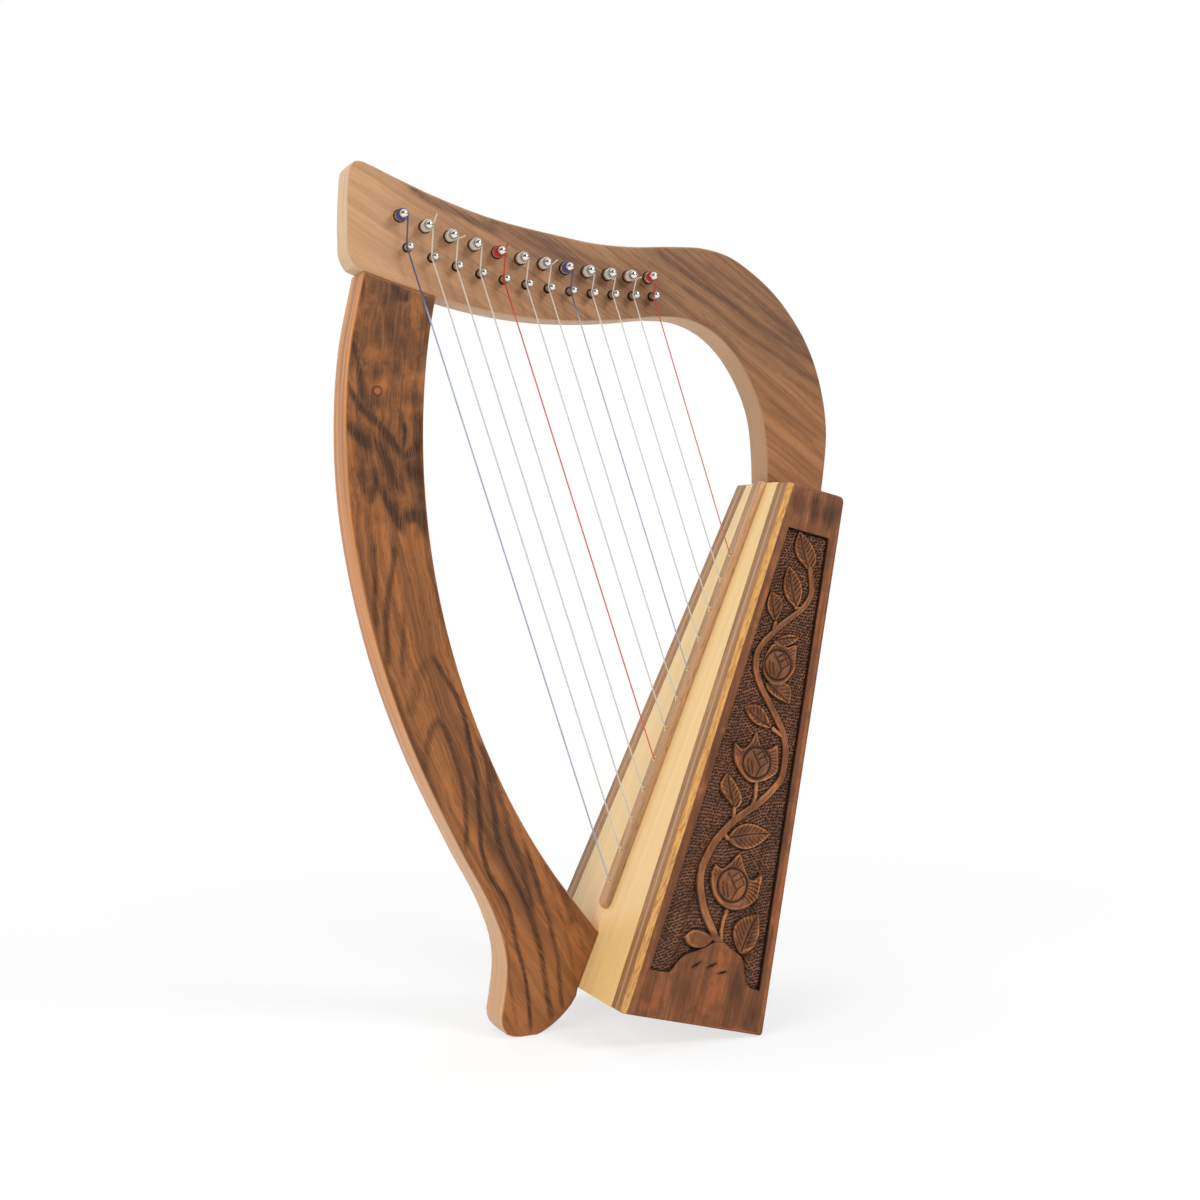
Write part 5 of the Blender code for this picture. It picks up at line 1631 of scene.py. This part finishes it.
def guide_profile():
    """Half outline of a guide pin: a groove for the string under a domed end."""
    level = STRING_LEVEL
    return [(GUIDE_RADIUS * 0.75, -GUIDE_DEPTH), (GUIDE_RADIUS, -GUIDE_DEPTH + 0.001),
            (GUIDE_RADIUS, level - 0.0019), (GUIDE_RADIUS * 0.95, level - 0.0016),
            (GUIDE_GROOVE * 1.08, level - 0.0007), (GUIDE_GROOVE, level - 0.0002),
            (GUIDE_GROOVE, level + 0.0003), (GUIDE_GROOVE * 1.1, level + 0.0007),
            *ball(GUIDE_RADIUS, GUIDE_REACH, -28, 88, 12, 0.9)]


def string_radius(index, sizes):
    return sizes.string_low + (sizes.string_high - sizes.string_low) * index / (STRINGS - 1)


def string_kind(index):
    return "string_" + DYED_STRINGS.get(index, "clear")


def string_set(sizes):
    """Each string's number, and what its path follows: pin, guide pin, hole and radius."""
    rows = zip(row(PIN_ROW), row(GUIDE_ROW), hole_places())
    for index, (pin, guide, hole) in enumerate(rows):
        yield f"{index + 1:02d}", string_kind(index), (pin, guide, hole, string_radius(index, sizes))


def upright(place, level):
    """The place (x, z) at a distance before or behind the middle plane."""
    return np.array((place[0], level, place[1]))


def string_lines(pin, guide, along, radius):
    """The string's centre line from its knot to the pin, and the angle at which it ends there."""
    level = NEAR_LEVEL - STRING_LEVEL
    rim = -CLEAR - RIB_HEIGHT
    under = BOARD_THICKNESS + 2 * CLEAR + INNER_RIB_THICKNESS
    leave = front_point(along, rim - 0.0006, 0)
    route = []
    # The knot: two and a half turns laid round the string behind the inner rib.
    for step in range(31):
        turn = 2 * math.pi * 2.5 * step / 30
        reach = 0.0010 * (1 - 0.15 * step / 30)
        depth = under + 0.0024 - 0.0016 * step / 30
        route.append(front_point(along + reach * math.cos(turn), depth, reach * math.sin(turn)))
    route += [front_point(along, under + 0.0002, 0), front_point(along, under - 0.001, 0),
              front_point(along, rim + 0.0008, 0)]
    guide, pin = np.array(guide), np.array(pin)
    guide_reach = GUIDE_GROOVE + CLEAR + radius
    pin_reach = PIN_STRING_PART + CLEAR + radius
    rise = guide - leave[[0, 2]]
    lower = math.atan2(rise[1], rise[0]) + math.asin(guide_reach / np.linalg.norm(rise))
    gap = pin - guide
    upper = math.atan2(gap[1], gap[0]) - math.asin((guide_reach + pin_reach) / np.linalg.norm(gap))
    way = unit(upright(guide + spoke(lower + math.pi / 2, guide_reach), level) - leave)
    bend = front_point(along, rim, 0)
    route += curved(bend + INTO_BOX * 0.0004, leave, leave + way * 0.0012, 5)
    for step in range(6):
        angle = lower + (upper - lower) * step / 5 + math.pi / 2
        route.append(upright(guide + spoke(angle, guide_reach), level))
    for step in range(28):
        angle = upper - math.pi / 2 + math.radians(270) * step / 27
        route.append(upright(pin + spoke(angle, pin_reach), level))
    return route, upper + math.pi


def winding_line(pin, start, radius, turns, tail):
    """The turns already wound on a pin, going from the string's level towards the neck."""
    reach = PIN_STRING_PART + radius + 0.00012
    top = STRING_LEVEL - 2 * radius - 0.0002
    pitch = 2 * radius * 1.03
    pin = np.array(pin)
    sides = 24
    path = []
    for step in range(sides * turns + 1):
        angle = start + 2 * math.pi * step / sides
        path.append(upright(pin + spoke(angle, reach), NEAR_LEVEL - (top - pitch * step / sides)))
    if tail is None:
        return path
    # The loose end leaves the first turn on a tangent.
    aim = math.atan2(tail[1], tail[0])
    length = math.hypot(*tail) / 1000
    leave = aim - math.acos(min(0.95, reach / max(length, reach * 1.1)))
    gap = (start - leave) % (2 * math.pi)
    lead = []
    for t in (step / 6 for step in range(7)):
        lead.append(upright(pin + spoke(leave, reach) * (1 - t) + spoke(aim, length) * t,
                            NEAR_LEVEL - top))
    count = max(2, int(gap / (2 * math.pi) * sides))
    arc = [upright(pin + spoke(leave + gap * step / count, reach), NEAR_LEVEL - top)
           for step in range(1, count)]
    return lead[::-1] + arc + path


def facing_front(place):
    """Sets a shape made about +Z on the neck's near face at the place (x, z), looking out."""
    return Matrix.Translation(upright(place, NEAR_LEVEL)) @ Matrix.Rotation(math.pi / 2, 4, "X")


def rib_mesh():
    """The string rib: a bar with a round lower end and a rounded top."""
    half = RIB_WIDTH / 2
    round_off = 0.0019
    outline = [(BOX_LENGTH, -half), (BOX_LENGTH, half)]
    for index in range(33):
        x, y = spoke(math.pi / 2 + math.pi * index / 32, half)
        outline.append((RIB_START + half + x, y))
    levels = [(0.0, 0.0), (0.0, RIB_HEIGHT - round_off)]
    for index in range(1, 7):
        turn = math.pi / 2 * index / 6
        levels.append((0.0021 * (1 - math.cos(turn)), RIB_HEIGHT - round_off * (1 - math.sin(turn))))
    points = []
    for back, height in levels:
        ring = inset(outline, back)
        ring[:2, 0] = BOX_LENGTH
        points += [front_point(along, -CLEAR - height, y) for along, y in ring]
    return mesh_of("string_rib_wood", points, stacked(len(levels), len(outline)))


def eyelet_mesh(outer, hole):
    """A brass eyelet about +Z: a rolled flange and the tube below it."""
    middle = (outer + hole) / 2
    wall = (outer - hole) / 2
    ring = []
    for index in range(11):
        turn = math.pi * index / 10
        ring.append((middle - wall * math.cos(turn), 0.00045 * math.sin(turn)))
    ring += [(outer, -0.00005), (hole + 0.0002, -0.00005), (hole + 0.0002, -RIB_HEIGHT),
             (hole, -RIB_HEIGHT), (hole, -0.0001)]
    sides = 28
    points = [(r * math.cos(2 * math.pi * s / sides), r * math.sin(2 * math.pi * s / sides), h)
              for r, h in ring for s in range(sides)]
    faces = []
    for index in range(len(ring)):
        faces += ring_faces(index * sides, (index + 1) % len(ring) * sides, sides)
    return mesh_of("eyelet", points, faces)


# Operators
class HARP_OT_neck(bpy.types.Operator):
    """Make the neck with its pin bores and the small plug"""

    bl_idname = "harp.neck"
    bl_label = "Neck"
    bl_options = {"REGISTER", "UNDO"}

    def execute(self, context):
        sizes, colours = context.scene.harp_sizes, context.scene.harp_colours
        stain = dark_lining("bore_stain", BORE_DARK)
        bores = [(x, z, PIN_SHANK + CLEAR, NECK_THICKNESS + 0.01, 0.0003) for x, z in row(PIN_ROW)]
        bores += [(x, z, GUIDE_RADIUS + CLEAR, GUIDE_DEPTH + CLEAR, 0.0005) for x, z in row(GUIDE_ROW)]
        neck = board("neck_board", neck_outline(), NEAR_LEVEL, NECK_THICKNESS, sizes.neck_ease,
                     bores, NECK_STREAKS, neck_wood(colours), stain)
        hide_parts("neck")
        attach(neck, "frame")

        points, faces = lathe([(sizes.plug, -0.003), (sizes.plug, 0.0), (sizes.plug * 0.9, 0.00008),
                               (sizes.plug * 0.5, 0.00015)], 24)
        data = mesh_of("wood_plug", points, faces)
        smoothed(data, 40)
        data.transform(facing_front(PLUG_PLACE))
        plug = add("wood_plug", data, plain_wood("plug_wood", PLUG_WOOD, 0.4))
        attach(plug, "frame")
        return {"FINISHED"}


class HARP_OT_pillar(bpy.types.Operator):
    """Make the bowed pillar"""

    bl_idname = "harp.pillar"
    bl_label = "Pillar"
    bl_options = {"REGISTER", "UNDO"}

    def execute(self, context):
        sizes, colours = context.scene.harp_sizes, context.scene.harp_colours
        pillar = board("pillar_board", pillar_outline(), PILLAR_NEAR, PILLAR_THICKNESS,
                       sizes.pillar_ease, [], PILLAR_STREAKS, pillar_wood(colours))
        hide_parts("pillar")
        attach(pillar, "frame")
        return {"FINISHED"}


class HARP_OT_sides(bpy.types.Operator):
    """Make both side panels with their carved vines"""

    bl_idname = "harp.sides"
    bl_label = "Carved sides"
    bl_options = {"REGISTER", "UNDO"}

    def execute(self, context):
        sizes, colours = context.scene.harp_sizes, context.scene.harp_colours
        face_wood, edge_wood = carved_wood(colours), side_edge_wood(colours)
        for name, side in (("near", -1), ("far", 1)):
            panel, out = make_side("carved_side_" + name, side, sizes, face_wood, edge_wood)
            shade_flats(panel.data, 38, [out, -out])
            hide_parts("side_panel_" + name)
            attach(panel, "frame")
        return {"FINISHED"}


class HARP_OT_soundbox(bpy.types.Operator):
    """Finish the soundboard, the back, the blocks and the inner rib"""

    bl_idname = "harp.soundbox"
    bl_label = "Soundbox woods"
    bl_options = {"REGISTER", "UNDO"}

    def execute(self, context):
        colours = context.scene.harp_colours
        lean = BOX_LEAN - math.pi / 2
        inner = plain_wood("block_wood", colours.inner, 0.3, 0.6, 0.6, 4.0)
        woods = {
            "soundboard": spruce_wood(colours),
            "back_panel": plain_wood("back_walnut_wood", colours.back, lean + 0.16, 0.45, 0.9, 6.0),
            "top_block": inner,
            "bottom_block": inner,
            "inner_string_rib": inner,
        }
        for name, material in woods.items():
            for place in frame["nodes"][name].material_slots:
                place.material = material
        return {"FINISHED"}


class HARP_OT_rib(bpy.types.Operator):
    """Make the string rib and its brass eyelets"""

    bl_idname = "harp.rib"
    bl_label = "String rib and eyelets"
    bl_options = {"REGISTER", "UNDO"}

    def execute(self, context):
        sizes, colours = context.scene.harp_sizes, context.scene.harp_colours
        data = rib_mesh()
        outward(data)
        rib = add("string_rib_wood", data, plain_wood("rib_walnut_wood", colours.rib,
                                                      BOX_LEAN - math.pi / 2, 0.36, 0.9, 8.0))
        out = -INTO_BOX
        seats = [front_point(along, -CLEAR - RIB_HEIGHT, 0) for along in hole_places()]
        bored(rib, seats, out, sizes.eyelet_hole + 0.0003, RIB_HEIGHT + 0.004, 0.0001,
              dark_lining("seat_stain", SEAT_DARK))
        shade_flats(rib.data, 40, [out, -out])
        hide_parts("string_rib")
        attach(rib, "frame")

        data = eyelet_mesh(sizes.eyelet_outer, sizes.eyelet_hole)
        outward(data)
        data.transform(Vector(out).to_track_quat("Z", "Y").to_matrix().to_4x4())
        eyelets = set_out("brass_eyelets", seats, data, copies_tree(),
                          metal("brass_finish", colours.brass, 0.22, 0.15), 40)
        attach(eyelets, "frame")
        return {"FINISHED"}


class HARP_OT_pins(bpy.types.Operator):
    """Make the guide pins and the twelve turning pins with their windings"""

    bl_idname = "harp.pins"
    bl_label = "Pins and windings"
    bl_options = {"REGISTER", "UNDO"}

    def execute(self, context):
        sizes, colours = context.scene.harp_sizes, context.scene.harp_colours
        chrome = metal("polished_chrome", colours.chrome, 0.05, 0.07)
        data = mesh_of("guide", *lathe(guide_profile(), 24))
        outward(data)
        data.transform(Matrix.Rotation(math.pi / 2, 4, "X"))
        places = [upright(place, NEAR_LEVEL) for place in row(GUIDE_ROW)]
        guides = set_out("guide_pins_turned", places, data, copies_tree(), chrome, 50)
        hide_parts(*[f"guide_pin_{index + 1:02d}" for index in range(STRINGS)])
        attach(guides, "frame")

        profile, squares = pin_profile()
        thread = (-NECK_THICKNESS - 0.001, 0.0026, sizes.thread_pitch, THREAD_DEPTH)
        points, faces = lathe(profile, 36, squares, thread)
        nylons = nylon_finishes(colours)
        tubes = tube_tree()
        for (number, kind, string), tail in zip(string_set(sizes), TAILS):
            place, _, _, radius = string
            data = mesh_of("tuning_pin_turned_" + number, points, faces)
            outward(data)
            smoothed(data, 50)
            data.transform(facing_front(place))
            pin = add("tuning_pin_turned_" + number, data, chrome)
            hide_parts("tuning_pin_" + number)
            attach(pin, "pin_" + number)
            _, start = string_lines(*string)
            line = winding_line(place, start, radius, sizes.winding_turns, tail)
            coil = path_piece("string_winding_" + number, line, tubes, radius, sizes.tube_sides,
                              nylons[kind])
            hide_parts("string_coil_" + number)
            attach(coil, "pin_" + number)
        return {"FINISHED"}


class HARP_OT_strings(bpy.types.Operator):
    """Make the twelve strings"""

    bl_idname = "harp.strings"
    bl_label = "Strings"
    bl_options = {"REGISTER", "UNDO"}

    def execute(self, context):
        sizes, colours = context.scene.harp_sizes, context.scene.harp_colours
        nylons = nylon_finishes(colours)
        tubes = tube_tree()
        for number, kind, ends in string_set(sizes):
            line, _ = string_lines(*ends)
            string = path_piece("nylon_string_" + number, line, tubes, ends[-1], sizes.tube_sides,
                                nylons[kind])
            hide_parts("string_" + number)
            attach(string, "frame")
        return {"FINISHED"}


def floor_finish(shade):
    """A pale floor that the camera and shiny things see as white, with the harp's soft shadow."""
    craft = Craft("pale_floor", shade, 0.9, Specular_IOR_Level=0.1)
    lit = craft.node("ShaderNodeEmission", None, {"Color": WHITE, "Strength": 1.0})
    seen = craft.ray("Camera")
    x, y, _ = craft.parts(craft.place())
    far = craft.ramp((x * x + y * y) ** 0.5, 0.12, 0.75, 0.70, 1.0)
    cloud = craft.clouds(0.004, 2.0, 1.0)
    craft.finish(None, craft.ramp(cloud, 0.3, 0.7, 0.85, 0.95), cloud, 0.00003, 0.2)
    seen = seen + craft.ray("Glossy") + craft.ray("Transmission")
    both = craft.either(seen * far, Wire(craft, craft.shader.outputs[0]), lit)
    craft.link(both, craft.tree.nodes["Material Output"].inputs["Surface"])
    return craft.material


def light_room(world):
    """Plain soft light. Shiny things see the white behind the harp and a dimmer room before it."""
    world.use_nodes = True
    room = ShaderNodes(world.node_tree)
    room.tree.nodes.clear()

    def glow(strength):
        return room.node("ShaderNodeBackground", None, {"Color": WHITE, "Strength": strength})

    soft = glow(ROOM_LIGHT)
    _, y, z = room.parts(room.node("ShaderNodeTexCoord", output="Generated"))
    mirrored = glow(room.ramp(y + z * 0.7, -0.05, 0.65, ROOM_GLOSS, 1.0))
    both = room.either(room.ray("Glossy"), soft, mirrored)
    both = room.either(room.ray("Camera") + room.ray("Transmission"), both, glow(1.0))
    result = room.tree.nodes.new("ShaderNodeOutputWorld")
    room.link(both, result.inputs["Surface"])


def soft_lamp(name, place, width, power, mirrored):
    """A large square lamp that looks at the harp's middle."""
    lamp = bpy.data.lights.new(name, "AREA")
    lamp.size = width
    lamp.energy = power
    made = add(name, lamp)
    made.location = place
    made.rotation_euler = (Vector(LAMP_AIM) - Vector(place)).to_track_quat("-Z", "Y").to_euler()
    made.visible_glossy = mirrored


def view_camera():
    """The camera, at the photo's angle."""
    camera = bpy.data.cameras.new("view_camera")
    camera.lens = CAMERA_LENS
    camera.sensor_width = CAMERA_SENSOR
    camera.clip_start = 0.01
    camera.clip_end = 100.0
    made = add("view_camera", camera)
    turn = Matrix((CAMERA_RIGHT, CAMERA_UP, -Vector(CAMERA_AHEAD))).transposed().to_4x4()
    made.matrix_world = Matrix.Translation(CAMERA_PLACE) @ turn
    return made


class HARP_OT_studio(bpy.types.Operator):
    """Make the pale floor, the soft lamps and the camera"""

    bl_idname = "harp.studio"
    bl_label = "Studio"
    bl_options = {"REGISTER", "UNDO"}

    def execute(self, context):
        colours, half = context.scene.harp_colours, FLOOR_HALF
        corners = [(-half, -half, 0), (half, -half, 0), (half, half, 0), (-half, half, 0)]
        data = mesh_of("floor", corners, [(0, 1, 2, 3)])
        add("floor", data, floor_finish(colours.floor))

        scene = context.scene
        scene.world = scene.world or bpy.data.worlds.new("studio")
        light_room(scene.world)
        for name, lamp in LAMPS.items():
            soft_lamp(name, *lamp)
        scene.camera = view_camera()
        scene.view_settings.view_transform = "Standard"
        return {"FINISHED"}


class HARP_PT_panel(bpy.types.Panel):
    """The harp's sizes, colours and pieces in the sidebar."""

    bl_idname = "HARP_PT_panel"
    bl_label = "Lap harp"
    bl_space_type = "VIEW_3D"
    bl_region_type = "UI"
    bl_category = "Harp"

    def draw(self, context):
        layout = self.layout
        for operator in OPERATORS:
            layout.operator(operator.bl_idname)
        for settings in (context.scene.harp_sizes, context.scene.harp_colours):
            box = layout.box()
            for name in settings.__annotations__:
                box.prop(settings, name)


OPERATORS = (HARP_OT_neck, HARP_OT_pillar, HARP_OT_sides, HARP_OT_soundbox, HARP_OT_rib,
             HARP_OT_pins, HARP_OT_strings, HARP_OT_studio)
CLASSES = (HarpSizes, HarpColours, *OPERATORS, HARP_PT_panel)


def register():
    for item in CLASSES:
        bpy.utils.register_class(item)
    bpy.types.Scene.harp_sizes = PointerProperty(type=HarpSizes)
    bpy.types.Scene.harp_colours = PointerProperty(type=HarpColours)


def unregister():
    del bpy.types.Scene.harp_colours
    del bpy.types.Scene.harp_sizes
    for item in reversed(CLASSES):
        bpy.utils.unregister_class(item)


def main():
    kept = set(frame["nodes"].values()) | set(frame["bodies"].values())
    for old in list(bpy.data.objects):
        if old not in kept:
            bpy.data.objects.remove(old)
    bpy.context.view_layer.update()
    register()
    for operator in OPERATORS:
        group, name = operator.bl_idname.split(".")
        getattr(getattr(bpy.ops, group), name)()


if __name__ == "__main__":
    main()
